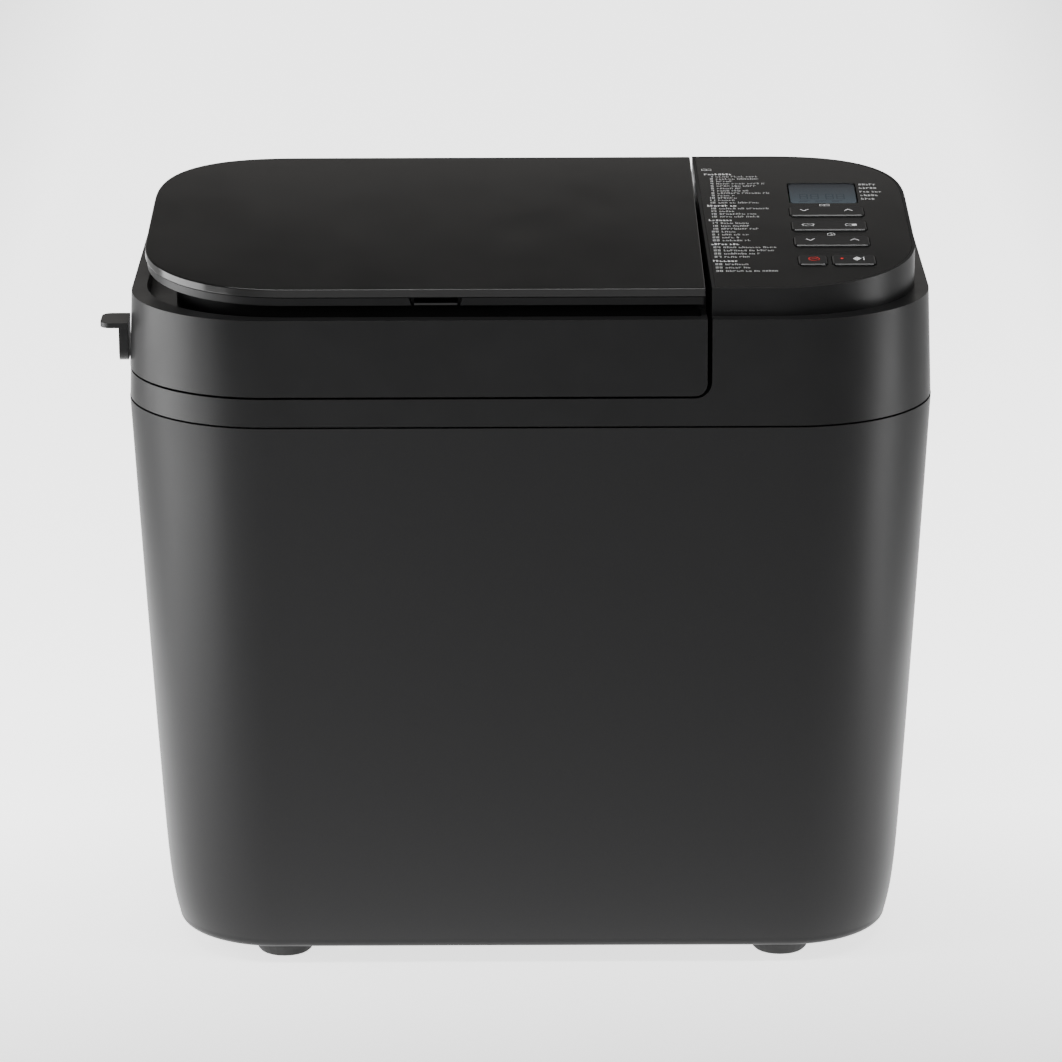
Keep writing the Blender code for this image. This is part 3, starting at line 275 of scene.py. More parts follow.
def loft(rings, closed=False):
    """Skin equal rings in order; closed joins the last ring to the first."""
    shape = bmesh.new()
    rows = [[shape.verts.new(point) for point in ring] for ring in rings]
    pairs = list(zip(rows, rows[1:]))
    if closed:
        pairs.append((rows[-1], rows[0]))
    for low, high in pairs:
        for i in range(len(low)):
            j = (i + 1) % len(low)
            shape.faces.new((low[i], low[j], high[j], high[i]))
    if not closed:
        shape.faces.new(reversed(rows[0]))
        shape.faces.new(rows[-1])
    return finish_mesh(shape)


def box(low, high):
    shape = bmesh.new()
    bmesh.ops.create_cube(shape, size=1.0)
    size = Vector(high) - Vector(low)
    middle = (Vector(high) + Vector(low)) / 2
    place = Matrix.Translation(middle) @ Matrix.Diagonal((*size, 1.0))
    bmesh.ops.transform(shape, matrix=place, verts=shape.verts)
    return finish_mesh(shape)


def rod(radius, length, axis, place, steps=32):
    mesh = loft([at_height(circle(radius, steps), z) for z in (-length / 2, length / 2)])
    turn = Matrix.Rotation(pi / 2, 4, "Y") if axis == "X" else Matrix.Rotation(-pi / 2, 4, "X")
    mesh.transform(Matrix.Translation(place) @ turn)
    return mesh


def prism_along_x(profile, x_low, x_high):
    return loft([[(x_low, y, z) for y, z in profile], [(x_high, y, z) for y, z in profile]])


def lid_block(grow, y_back, z_top=0.5, lean=0.0):
    """The lid's space, up to its right and bottom edges, pushed out by grow.

    A lean narrows it towards the back.
    """
    bottom = LID_BOTTOM - grow[1]
    radius = LID_CORNER + max(grow)
    rings = []
    for y in (y_back, -CUT):
        right = split_x(y) + grow[0] - lean * share_back(y)
        angles = [i * pi / 20 for i in range(11)]
        corner = [(right - radius + radius * sin(a), bottom + radius - radius * cos(a)) for a in angles]
        profile = [(-CUT, z_top), (-CUT, bottom), *corner, (right, z_top)]
        rings.append([(x, y, z) for x, z in profile])
    return loft(rings)


def carve(mesh, tool, operation="DIFFERENCE"):
    """The Boolean of two meshes as a new mesh."""
    base = bpy.data.objects.new("carve_base", mesh)
    other = bpy.data.objects.new("carve_tool", tool)
    for item in (base, other):
        bpy.context.scene.collection.objects.link(item)
    step = base.modifiers.new("carve", "BOOLEAN")
    step.operation = operation
    step.solver = "EXACT"
    step.object = other
    graph = bpy.context.evaluated_depsgraph_get()
    result = bpy.data.meshes.new_from_object(base.evaluated_get(graph))
    bpy.data.objects.remove(base)
    bpy.data.objects.remove(other)
    return result


def show(name, mesh, body, look, slot, replaced=(), edge=EDGE, segments=2):
    """A visible piece on a body: soft edges, smooth faces, its finish and the CAD nodes it stands for."""
    mesh.transform(Matrix.Translation((MACHINE_X, 0, 0)))
    mesh.shade_smooth()
    mesh.set_sharp_from_angle(angle=radians(CREASE))
    mesh.materials.clear()
    mesh.materials.append(look)
    made = bpy.data.objects.new(name, mesh)
    bpy.context.scene.collection.objects.link(made)
    if edge:
        soften(made, edge, segments)
    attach(made, body)
    if replaced:
        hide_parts(*replaced)
    return made


def soften(item, width, segments=2):
    bevel = item.modifiers.new("soft_edges", "BEVEL")
    bevel.width = width
    bevel.segments = segments
    bevel.limit_method = "ANGLE"
    bevel.angle_limit = radians(CREASE)
    bevel.harden_normals = True
    bevel.miter_outer = "MITER_ARC"


# ---------------------------------------------------------------- finishes

class Finish:
    """Builds one procedural material on a Principled shader, in object coordinates."""

    def __init__(self, name, colour, roughness, metallic=0.0, specular=0.5):
        self.material = bpy.data.materials.new(name)
        self.material.use_nodes = True
        self.tree = self.material.node_tree
        self.shader = self.tree.nodes["Principled BSDF"]
        self.colour = colour
        self.roughness = roughness
        self.place = self.node("ShaderNodeTexCoord").outputs["Object"]
        self.set("Base Color", (*colour, 1.0))
        self.set("Roughness", roughness)
        self.set("Metallic", metallic)
        self.set("Specular IOR Level", specular)
        self.height = None

    def node(self, kind, **values):
        made = self.tree.nodes.new(kind)
        for key, value in values.items():
            if hasattr(made, key):
                setattr(made, key, value)
            else:
                made.inputs[key].default_value = value
        return made

    def set(self, socket, value):
        self.shader.inputs[socket].default_value = value

    def link(self, source, target):
        self.tree.links.new(source, target)

    def noise(self, scale, detail=2.0, stretch=(1, 1, 1), rough=0.5):
        mapping = self.node("ShaderNodeMapping")
        mapping.inputs["Scale"].default_value = stretch
        self.link(self.place, mapping.inputs["Vector"])
        made = self.node("ShaderNodeTexNoise", Scale=scale, Detail=detail, Roughness=rough)
        self.link(mapping.outputs["Vector"], made.inputs["Vector"])
        return made.outputs["Fac"]

    def span(self, source, low, high, into_low=0.3, into_high=0.7):
        made = self.node("ShaderNodeMapRange")
        made.inputs["From Min"].default_value = into_low
        made.inputs["From Max"].default_value = into_high
        made.inputs["To Min"].default_value = low
        made.inputs["To Max"].default_value = high
        self.link(source, made.inputs["Value"])
        return made.outputs["Result"]

    def vary_colour(self, source, amount):
        """Lighten and darken the colour by a share of itself."""
        mix = self.node("ShaderNodeMix", data_type="RGBA")
        low, high = [tuple(min(1.0, c * k) for c in self.colour) for k in (1 - amount, 1 + amount)]
        mix.inputs["A"].default_value = (*low, 1.0)
        mix.inputs["B"].default_value = (*high, 1.0)
        self.link(self.span(source, 0.0, 1.0), mix.inputs["Factor"])
        self.link(mix.outputs["Result"], self.shader.inputs["Base Color"])
        return self

    def vary_roughness(self, source, amount):
        result = self.span(source, self.roughness - amount, self.roughness + amount)
        self.link(result, self.shader.inputs["Roughness"])
        return self

    def bump(self, source, depth, strength=1.0):
        """Relief of a given depth in metres; several calls add up."""
        made = self.node("ShaderNodeBump", Strength=strength, Distance=depth)
        self.link(source, made.inputs["Height"])
        if self.height:
            self.link(self.height, made.inputs["Normal"])
        self.height = made.outputs["Normal"]
        self.link(self.height, self.shader.inputs["Normal"])
        return self


def moulded(name, colour, roughness, grain=0.000012, grain_scale=1500, specular=0.5, handling=0.05):
    """Moulded plastic: fine spark-eroded grain, slow waves, and faint handling marks in the gloss."""
    look = Finish(name, colour, roughness, specular=specular)
    look.vary_colour(look.noise(60, 3), 0.06)
    look.vary_roughness(look.noise(18, 4, rough=0.6), handling)
    look.bump(look.noise(grain_scale, 2), grain)
    look.bump(look.noise(25, 1), 0.00004, 0.25)
    return look.material


def painted_steel(name, colour, roughness, specular=0.5):
    """Satin coat on sheet: fine orange peel, metallic flecks and slow roughness clouds."""
    look = Finish(name, colour, roughness, specular=specular)
    flecks = look.noise(2600, 1)
    look.vary_colour(flecks, 0.10)
    look.vary_roughness(look.noise(9, 4, rough=0.6), 0.03)
    look.bump(look.noise(420, 2), 0.000010)
    look.bump(flecks, 0.000004)
    return look.material


def metal(name, colour, roughness, brushed=(1, 1, 1), scale=900, depth=0.000006):
    """Bare metal with brushing or rolling lines along the axis that isn't stretched."""
    look = Finish(name, colour, roughness, metallic=1.0)
    lines = look.noise(scale, 3, brushed)
    look.vary_colour(look.noise(40, 3), 0.08)
    look.vary_roughness(lines, 0.08)
    look.bump(lines, depth)
    return look.material


def coating(name, colour, roughness):
    """Sprayed non-stick: dense speckle and a soft pebbled surface."""
    look = Finish(name, colour, roughness, specular=0.45)
    speckle = look.noise(1300, 3, rough=0.7)
    look.vary_colour(speckle, 0.45)
    look.vary_roughness(look.noise(30, 3), 0.07)
    look.bump(look.noise(700, 2), 0.00002)
    return look.material


def rubber(name):
    look = Finish(name, (0.016, 0.016, 0.016), 0.78, specular=0.3)
    look.vary_colour(look.noise(90, 4), 0.25)
    look.vary_roughness(look.noise(50, 3), 0.08)
    look.bump(look.noise(1800, 3), 0.00003)
    return look.material


def circuit_board(name):
    """Green lacquer over copper tracks."""
    look = Finish(name, (0.012, 0.085, 0.030), 0.38)
    tracks = look.node("ShaderNodeTexBrick", Scale=160.0)
    tracks.inputs["Color1"].default_value = (0.010, 0.075, 0.026, 1)
    tracks.inputs["Color2"].default_value = (0.014, 0.095, 0.034, 1)
    tracks.inputs["Mortar"].default_value = (0.030, 0.160, 0.060, 1)
    tracks.inputs["Mortar Size"].default_value = 0.03
    look.link(look.place, tracks.inputs["Vector"])
    look.link(tracks.outputs["Color"], look.shader.inputs["Base Color"])
    look.bump(tracks.outputs["Fac"], 0.00003)
    return look.material


def display_face(name):
    """Reflective display with painted shade: darker towards the back, blue-grey towards the front, with a
    fine grain in its gloss.
    """
    look = Finish(name, (0.14, 0.18, 0.21), 0.35)
    split = look.node("ShaderNodeSeparateXYZ")
    look.link(look.place, split.inputs["Vector"])
    # Painted shade: the face's colour fades from blue-grey at the front to near black at the back, standing
    # in for how light falls on it under the window.
    painted_shade_mix = look.node("ShaderNodeMix", data_type="RGBA")
    painted_shade_mix.inputs["A"].default_value = (0.085, 0.118, 0.145, 1)
    painted_shade_mix.inputs["B"].default_value = (0.026, 0.027, 0.034, 1)
    half = DISPLAY_SIZE[1] / 2
    painted_shade_share = look.span(split.outputs["Y"], 0.0, 1.0, DISPLAY_CENTRE[1] - half, DISPLAY_CENTRE[1] + half)
    look.link(painted_shade_share, painted_shade_mix.inputs["Factor"])
    look.link(painted_shade_mix.outputs["Result"], look.shader.inputs["Base Color"])
    look.vary_roughness(look.noise(2500, 1), 0.05)
    return look.material


def ink(name, colour, painted_glow=0.0):
    look = Finish(name, colour, 0.5)
    look.vary_colour(look.noise(900, 2), 0.08)
    # The glow is painted light: emission that makes the print brighter than the lamps light it.
    if painted_glow:
        look.set("Emission Color", (*colour, 1.0))
        look.set("Emission Strength", painted_glow)
    return look.material


def clear_window(name):
    look = Finish(name, (0.10, 0.11, 0.12), 0.06, specular=0.15)
    look.set("Alpha", 0.10)
    look.bump(look.noise(15, 2), 0.00002, 0.2)
    return look.material


LOOKS = {
    "shell": painted_steel("satin_charcoal_paint", (0.0168, 0.0168, 0.0171), 0.40, 0.14),
    "frame_black": moulded("satin_black_moulding", (0.0125, 0.0125, 0.0127), 0.36, specular=0.2),
    "top_gloss": moulded("flap_black_lacquer", (0.0065, 0.0063, 0.0061), 0.20, grain=0.000004,
                         handling=0.03),
    "panel": moulded("panel_black_film", (0.0070, 0.0068, 0.0066), 0.22, grain=0.000005, grain_scale=2200,
                     handling=0.03),
    "key": moulded("key_black", (0.0085, 0.0085, 0.0088), 0.34, grain=0.000006, grain_scale=2000),
    "display": display_face("display_face"),
    "rubber": rubber("black_rubber"),
    "steel": metal("brushed_steel", (0.56, 0.56, 0.57), 0.30, (1, 1, 12)),
    "aluminium": metal("satin_aluminium", (0.66, 0.66, 0.67), 0.38, (6, 1, 1), 700),
    "nonstick": coating("grey_nonstick", (0.050, 0.047, 0.045), 0.46),
    "heater": metal("heat_tinted_steel", (0.21, 0.18, 0.16), 0.50, (1, 1, 1), 300),
    "board": circuit_board("green_board"),
    "plain_plastic": moulded("natural_plastic", (0.70, 0.68, 0.63), 0.45),
}
WINDOW = clear_window("display_window_clear")
# The last number of each ink is its glow, painted light that brightens the print.
WHITE_INK = ink("white_print", (0.78, 0.78, 0.78), 0.12)
GREY_INK = ink("grey_print", (0.52, 0.52, 0.52), 0.10)
RED_INK = ink("red_print", (0.72, 0.035, 0.030), 0.15)
# The start lamp's glow is painted light, beside a display that is unlit.
LAMP_INK = ink("start_lamp_red", (0.85, 0.02, 0.015), 0.6)
SEGMENT_INK = ink("display_segment", (0.050, 0.068, 0.082))


# ---------------------------------------------------------------- shells

def shell_inset(z):
    down = (SEAM - z) / (SEAM - SHELL_BOTTOM)
    return TAPER * down - BULGE * sin(pi * down) + TUCK * down ** TUCK_POWER


def shell_profile(offset, steps):
    """Insets and heights down one wall, then round its bottom edge."""
    centre_z = SHELL_BOTTOM + BOTTOM_ROUND
    levels = [centre_z + (SEAM - centre_z) * (1 - i / steps) ** 2 for i in range(steps + 1)]
    points = [(shell_inset(z) + offset, z) for z in levels]
    radius = BOTTOM_ROUND - offset
    base = shell_inset(centre_z) + BOTTOM_ROUND
    for i in range(1, 9):
        angle = i / 8 * pi / 2
        points.append((base - radius * cos(angle), centre_z - radius * sin(angle)))
    return points


def make_shell():
    outside = [body_ring(inset, z) for inset, z in reversed(shell_profile(0.0, 22))]
    inside = [body_ring(inset, z) for inset, z in shell_profile(SHELL_WALL, 6)]
    mesh = loft(outside + inside, closed=True)
    for row in range(VENT_ROWS):
        z = VENT_LOW + VENT_PITCH * row
        mesh = carve(mesh, box((VENT_X[0], 0.09, z), (VENT_X[1], 0.14, z + VENT_HEIGHT)))
    mesh = carve(mesh, rod(GLAND_BORE, 0.06, "Y", GLAND_PLACE))
    show("shell_skin", mesh, "base", LOOKS["shell"], "shell", ["outer_shell"], edge=0.0004)


def frame_hollow():
    inside = loft([body_ring(FRAME_WALL, SEAM - 0.02), body_ring(RIM_INSET + FRAME_WALL, RIM - FRAME_WALL)])
    grow = (SPLIT_GAP + FRAME_WALL, LID_SEAM_GAP + FRAME_WALL)
    keep = lid_block(grow, LID_BACK + 0.001 + FRAME_WALL, lean=POD_LEAN)
    return carve(inside, keep)


def deck_openings():
    """Plan outlines of the key and display openings, each with its own place on the deck."""
    sizes = [(WIDE_KEY_X, y, WIDE_KEY_WIDTH, KEY_DEPTH) for y in WIDE_KEYS.values()]
    sizes += [(x, PUSH_KEY_Y, width, KEY_DEPTH) for x, width in PUSH_KEYS.values()]
    sizes.append((*DISPLAY_CENTRE, *DISPLAY_SIZE))
    for x, y, width, depth in sizes:
        hole = rounded(width / 2 + KEY_PLAY, depth / 2 + KEY_PLAY, 0.002 + KEY_PLAY, steps=5)
        mesh = loft([at_height(hole, -0.02), at_height(hole, 0.01)])
        mesh.transform(deck_matrix(x, y))
        yield mesh


def deck_matrix(x, y, above=0.0):
    """Places a flat shape on the deck, its Z square to the slope."""
    lift = Matrix.Translation((0, 0, above))
    return Matrix.Translation((x, y, deck_height(y))) @ Matrix.Rotation(DECK_TILT, 4, "X") @ lift


def make_frame():
    mesh = loft([body_ring(0.0002, SEAM + SEAM_LINE), body_ring(RIM_INSET, RIM)])
    outline = deck_outline(0.0)
    mesh = carve(mesh, loft([at_height(outline, RIM - 0.010), on_deck(outline)]), "UNION")
    for x in HINGE_XS:
        mesh = carve(mesh, rod(LID_KNUCKLE[1], 4 * LID_KNUCKLE[0], "X", (x, *LID_AXIS)), "UNION")
    mesh = carve(mesh, lid_block((SPLIT_GAP, LID_SEAM_GAP), LID_BACK + 0.001, lean=POD_LEAN))
    mouth = [(x + BAKE_X, y) for x, y in rounded(*MOUTH_HALF, MOUTH_CORNER, steps=12)]
    mesh = carve(mesh, loft([at_height(mouth, SEAM - 0.013), at_height(mouth, LID_BOTTOM + 0.004)]))
    mesh = carve(mesh, frame_hollow())
    room = clip_right(deck_outline(FRAME_WALL), SPLIT_GAP + FRAME_WALL + GAP)
    mesh = carve(mesh, loft([at_height(room, SEAM + 0.03), on_deck(room, DECK_THICKNESS)]))
    recess = clip_right(deck_outline(PANEL_BORDER), SPLIT_GAP + PANEL_BORDER)
    mesh = carve(mesh, loft([on_deck(recess, PANEL_THICKNESS + GAP), on_deck(recess, -0.02)]))
    for x in HINGE_XS:
        half = LID_KNUCKLE[0] + GAP
        low = (x - half, LID_BACK - 0.005, LID_AXIS[1] - LID_KNUCKLE[1] - 0.003)
        mesh = carve(mesh, box(low, (x + half, LID_AXIS[0] + LID_KNUCKLE[1] + 0.001, 0.36)))
        mesh = carve(mesh, rod(LID_BORE, 5 * LID_KNUCKLE[0], "X", (x, *LID_AXIS)))
    mesh = carve(mesh, rod(PLUNGER_BORE, 0.02, "Y", (PLUNGER_HOLE[0], LID_BACK + 0.004, PLUNGER_HOLE[1])))
    for tool in deck_openings():
        mesh = carve(mesh, tool)
    show("frame_skin", mesh, "base", LOOKS["frame_black"], "frame_black", ["upper_frame"])


def make_panel():
    recess = clip_right(deck_outline(PANEL_BORDER + GAP / 3), SPLIT_GAP + PANEL_BORDER + GAP / 3)
    mesh = loft([on_deck(recess, PANEL_THICKNESS), on_deck(recess)])
    for tool in deck_openings():
        mesh = carve(mesh, tool)
    show("panel_skin", mesh, "base", LOOKS["panel"], "panel", ["control_panel"], edge=0.00015, segments=1)


# ---------------------------------------------------------------- lid and flap

def lid_arm(x):
    half, radius = LID_KNUCKLE
    y, z = LID_AXIS
    angles = [(i - 12) * pi / 24 for i in range(25)]
    round_end = [(y + radius * cos(a), z + radius * sin(a)) for a in angles]
    front = LID_BACK - 0.0015
    return prism_along_x([(front, z - radius), *round_end, (front, z)], x - half, x + half)


def flap_ear(x):
    half = FLAP_KNUCKLE[0] + 0.004
    radius = FLAP_KNUCKLE[1]
    y, z = FLAP_AXIS
    low = RIM - 0.001
    crown = [(y + radius * cos(a), z + radius * sin(a)) for a in [i * pi / 16 for i in range(17)]]
    return prism_along_x([(y - radius, low), (y + radius, low), *crown], x - half, x + half)


def groove_ring(outer, depth, inner_inset):
    """A ring from the rim down, between an outer outline and an outline round the raised middle."""
    inner = deck_outline(inner_inset)
    low, high = RIM - depth, RIM + 0.02
    section = ((outer, low), (outer, high), (inner, high), (inner, low))
    return loft([at_height(outline, z) for outline, z in section], closed=True)


def make_lid():
    mesh = loft([body_ring(0.0, LID_BOTTOM - 0.01), body_ring(RIM_INSET, RIM)])
    plateau = deck_outline(PLATEAU_INSET)
    top = on_deck(plateau, FLAP_PLATE + FLAP_LAYER + GAP + 0.0004)
    mesh = carve(mesh, loft([at_height(plateau, RIM - 0.010), top]), "UNION")
    mesh = carve(mesh, lid_block((0, 0), LID_BACK), "INTERSECT")
    for x in HINGE_XS:
        mesh = carve(mesh, lid_arm(x), "UNION")
        mesh = carve(mesh, flap_ear(x), "UNION")
    groove = groove_ring(deck_outline(LEDGE_INSET), LEDGE_DEPTH, PLATEAU_INSET)
    mesh = carve(mesh, carve(groove, lid_block((-1.2 * LID_WALL, CUT / 2), LEDGE_END), "INTERSECT"))
    mesh = carve(mesh, lid_hollow())
    low = (BAKE_X - HOPPER_HALF[0], HOPPER_Y - HOPPER_HALF[1], RIM - 0.02)
    mesh = carve(mesh, box(low, (BAKE_X + HOPPER_HALF[0], HOPPER_Y + HOPPER_HALF[1], CUT)))
    mesh = cut_hinge_room(mesh)
    mesh = carve(mesh, rod(PLUNGER_BORE, 0.03, "Y", (PLUNGER_HOLE[0], LID_BACK, PLUNGER_HOLE[1])))
    show("lid_skin", mesh, "lid", LOOKS["frame_black"], "frame_black", ["lid_body"])


def lid_hollow():
    """The lid's inside, with a floor left under the groove that runs round its raised middle."""
    low_ring = body_ring(LID_WALL, LID_BOTTOM - 0.02)
    inside = loft([low_ring, body_ring(RIM_INSET + LID_WALL, RIM - LID_WALL)])
    inside = carve(inside, lid_block((-LID_WALL, CUT / 8), LID_BACK - LID_WALL), "INTERSECT")
    outer = [point[:2] for point in body_ring(-0.01, 0.0)]
    return carve(inside, groove_ring(outer, LEDGE_DEPTH + LID_WALL, PLATEAU_INSET + LID_WALL))


def cut_hinge_room(mesh):
    """Bores of the lid's and the flap's pins, and the slots for the flap's knuckles."""
    for x in HINGE_XS:
        mesh = carve(mesh, rod(LID_BORE, 5 * LID_KNUCKLE[0], "X", (x, *LID_AXIS)))
        half = FLAP_KNUCKLE[0] + GAP
        mesh = carve(mesh, box((x - half, 0.080, RIM + 0.001), (x + half, 0.100, CUT)))
        mesh = carve(mesh, rod(FLAP_BORE, 0.05, "X", (x, *FLAP_AXIS)))
    return mesh


def make_flap():
    plate = loft([on_deck(flap_outline(0.0), FLAP_PLATE), on_deck(flap_outline(0.0))])
    look = LOOKS["top_gloss"]
    show("flap_plate_skin", plate, "flap", look, "top_gloss", ["flap_plate"], edge=0.0007, segments=3)
    layer_low = FLAP_PLATE + FLAP_LAYER
    outline = flap_outline(FLAP_LAYER_INSET)
    mesh = loft([on_deck(outline, layer_low), on_deck(outline, FLAP_PLATE + GAP)])
    front = DECK_FRONT_Y + FLAP_LAYER_INSET
    half = CATCH_WIDTH / 2 + GAP
    z = deck_height(front)
    mesh = carve(mesh, catch_notch(front, half, z - layer_low, z - FLAP_PLATE))
    for x in HINGE_XS:
        mesh = carve(mesh, flap_knuckle(x), "UNION")
        mesh = carve(mesh, rod(FLAP_BORE, 0.05, "X", (x, *FLAP_AXIS)))
    show("flap_base_skin", mesh, "flap", LOOKS["frame_black"], "frame_black", ["flap_base"], edge=0.0003)
    make_catch(front, z - layer_low)


def catch_notch(front, half, low, high):
    """The finger recess in the flap's front, wider at its top."""
    top, bottom = high - 0.0004, low - 0.002
    lean = 0.0018
    rings = []
    for y in (front + 0.006, front - 0.01):
        left, right = CATCH_X - half, CATCH_X + half
        rings.append([(left, y, top), (left + lean, y, bottom), (right - lean, y, bottom), (right, y, top)])
    return loft(rings)


def make_catch(front, z):
    """The lip that the thumb lifts, with raised ends."""
    half = CATCH_WIDTH / 2 - 0.0021
    near, far = front + 0.0002, front + 0.0055
    profile = [(near, z), (far, z), (far, z + 0.0030), (front + 0.0040, z + 0.0016), (near, z + 0.0012)]
    mesh = prism_along_x(profile, CATCH_X - half, CATCH_X + half)
    show("catch_lip", mesh, "flap", LOOKS["top_gloss"], "top_gloss", ["flap_catch"], edge=0.0002)


def flap_knuckle(x):
    half, radius = FLAP_KNUCKLE
    y, z = FLAP_AXIS
    top = deck_height(y) - FLAP_PLATE - FLAP_LAYER + 0.001
    curve = [(y + radius * cos(a), z + radius * sin(a)) for a in [pi + i * pi / 16 for i in range(17)]]
    return prism_along_x([(y - radius, top), *curve, (y + radius, top)], x - half, x + half)


def make_handle():
    """The lid's lifting shelf with a rounded tip, and the boss that carries it."""
    low, high = HANDLE_LOW.copy(), HANDLE_HIGH.copy()
    low.x -= MACHINE_X
    high.x -= MACHINE_X
    middle = (low.y + high.y) / 2
    half = (high.y - low.y) / 2
    corner = 0.005
    thickness = 0.0026
    arc = [i * pi / 24 for i in range(13)]
    end = [(low.x + corner - corner * sin(a), half - corner + corner * cos(a)) for a in arc]
    plan = [(high.x, half), *end, *[(x, -y) for x, y in reversed(end)], (high.x, -half)]
    shelf = loft([[(x, y + middle, z) for x, y in plan] for z in (high.z - thickness, high.z)])
    root = 0.006
    inner = half - 0.001
    foot = [(inner - root + root * sin(a), low.z + root - root * cos(a)) for a in arc]
    side = [(inner, high.z - thickness / 2), (-inner, high.z - thickness / 2)]
    side += [(-y, z) for y, z in reversed(foot)] + foot
    boss = prism_along_x([(y + middle, z) for y, z in side], high.x - 0.0045, high.x)
    mesh = carve(shelf, boss, "UNION")
    look = LOOKS["frame_black"]
    show("handle_skin", mesh, "lid", look, "frame_black", ["lid_handle"], edge=0.0008, segments=3)


# ---------------------------------------------------------------- print on the panel

def ink_bar(rows, x, y, width, height):
    """One bar of print, kept as its left, front, right and back edges."""
    rows.append((x, y - height / 2, x + width, y + height / 2))


def print_mesh(rows):
    """All bars of one ink as one mesh of thin plates on the panel."""
    shape = bmesh.new()
    for x0, y0, x1, y1 in rows:
        corners = on_deck(((x0, y0), (x1, y0), (x1, y1), (x0, y1)), -INK_PROUD)
        low = [shape.verts.new(corner) for corner in corners]
        high = [shape.verts.new(v.co + Vector((0, 0, INK_THICKNESS))) for v in low]
        shape.faces.new(reversed(low))
        shape.faces.new(high)
        for i in range(4):
            j = (i + 1) % 4
            shape.faces.new((low[i], low[j], high[j], high[i]))
    return finish_mesh(shape)


def letters(rows, x, y, length, size, rng, weight=0.14):
    """A word-like run of strokes without any real letters."""
    end = x + length
    word = rng.randint(3, 8)
    while x < end:
        tall = rng.random() < 0.25
        stroke = size * weight
        rise = size if tall else size * 0.68
        width = size * rng.choice((0.42, 0.5, 0.55))
        base = y - size / 2
        ink_bar(rows, x, base + rise / 2, stroke, rise)
        if rng.random() < 0.6:
            ink_bar(rows, x + width - stroke * 1.2, base + rise * 0.34, stroke, rise * 0.68)
        level = rng.choice((0.08, 0.34, 0.62))
        ink_bar(rows, x, base + size * level + stroke / 2, width, stroke)
        x += width + size * 0.17
        word -= 1
        if word == 0:
            x += size * 0.33
            word = rng.randint(2, 8)


def print_numbers():
    """The programme list: five groups of numbered lines under short headings."""
    rng = random.Random(5)
    words, headings, numbers = [], [], []
    number = 1
    for count, top, end in zip(LIST_GROUPS, HEADINGS, (*HEADINGS[1:], LIST_END)):
        pitch = (top - end) / (count + HEADING_SPACE)
        letters(headings, LIST_LEFT, top, 0.009 + 0.008 * rng.random(), HEADING_SIZE, rng, 0.21)
        for row in range(count):
            y = top - pitch * (row + 1)
            letters(words, WORD_LEFT, y, 0.006 + 0.020 * rng.random(), PRINT_SIZE, rng)
            numbers += figure(str(number), NUMBER_RIGHT, y)
            number += 1
    show_print("list_words", words, GREY_INK)
    show_print("list_headings", headings, WHITE_INK)
    show_print("list_numbers", numbers, GREY_INK)


def show_print(name, rows, look):
    show(name, print_mesh(rows), "base", look, "panel", edge=0)


# Bars of a figure: steps to the right and up, and whether the bar lies flat.
BARS = {"a": (0, 1, True), "g": (0, 0.5, True), "d": (0, 0, True), "b": (1, 0.5, False),
        "c": (1, 0, False), "f": (0, 0.5, False), "e": (0, 0, False)}
FIGURES = {"0": "abcdef", "1": "bc", "2": "abged", "3": "abgcd", "4": "fgbc", "5": "afgcd", "6": "afgedc",
           "7": "abc", "8": "abcdefg", "9": "abcdfg"}


def figure(text, x, y, size=PRINT_SIZE):
    """Rows of bars for a printed number, right-aligned at x."""
    rows = []
    stroke = size * 0.18
    width = size * 0.56
    x0 = x - len(text) * width * 1.35
    for place, digit in enumerate(text):
        left = x0 + place * width * 1.35
        for part in FIGURES[digit]:
            across, up, flat = BARS[part]
            base = y - size / 2 + up * (size - stroke)
            if flat:
                rows.append((left, base, left + width, base + stroke))
            else:
                at = left + across * (width - stroke)
                rows.append((at, base, at + stroke, base + size / 2))
    return rows


# ---------------------------------------------------------------- symbols

def stroke_mesh(points, width, closed=False):
    """A flat line of a given width along plan points, as a thin solid centred on its own Z."""
    pairs = list(zip(points, points[1:]))
    if closed:
        pairs.append((points[-1], points[0]))
    shape = bmesh.new()
    for (x0, y0), (x1, y1) in pairs:
        run = Vector((x1 - x0, y1 - y0))
        side = Vector((-run.y, run.x)).normalized() * width / 2
        tail = run.normalized() * width * 0.3
        corners = [(x0 - tail.x + side.x, y0 - tail.y + side.y), (x0 - tail.x - side.x, y0 - tail.y - side.y),
                   (x1 + tail.x - side.x, y1 + tail.y - side.y), (x1 + tail.x + side.x, y1 + tail.y + side.y)]
        add_plate(shape, corners)
    return finish_mesh(shape)


def add_plate(shape, corners):
    low = [shape.verts.new((x, y, 0.0)) for x, y in corners]
    high = [shape.verts.new((x, y, INK_THICKNESS)) for x, y in corners]
    shape.faces.new(reversed(low))
    shape.faces.new(high)
    for i in range(len(corners)):
        j = (i + 1) % len(corners)
        shape.faces.new((low[i], low[j], high[j], high[i]))


def filled(points):
    shape = bmesh.new()
    add_plate(shape, points)
    return finish_mesh(shape)


def symbol(name, parts, x, y, body="base", look=None, above=INK_PROUD, slot="panel"):
    """Join the parts of one symbol and lay it on the deck or on a key's top."""
    shape = bmesh.new()
    for part in parts:
        shape.from_mesh(part)
    mesh = finish_mesh(shape)
    mesh.transform(deck_matrix(x, y, above))
    show(name, mesh, body, look or WHITE_INK, slot, edge=0)


def arc(radius, start, end, steps=20, centre=(0.0, 0.0)):
    """Plan points along part of a circle, in degrees."""
    angles = [radians(start + (end - start) * i / steps) for i in range(steps + 1)]
    return [(centre[0] + radius * cos(a), centre[1] + radius * sin(a)) for a in angles]


def chevron(up):
    side = 1 if up else -1
    foot = -0.0014 * side
    return stroke_mesh([(-0.0020, foot), (0.0, 0.0013 * side), (0.0020, foot)], 0.00050)


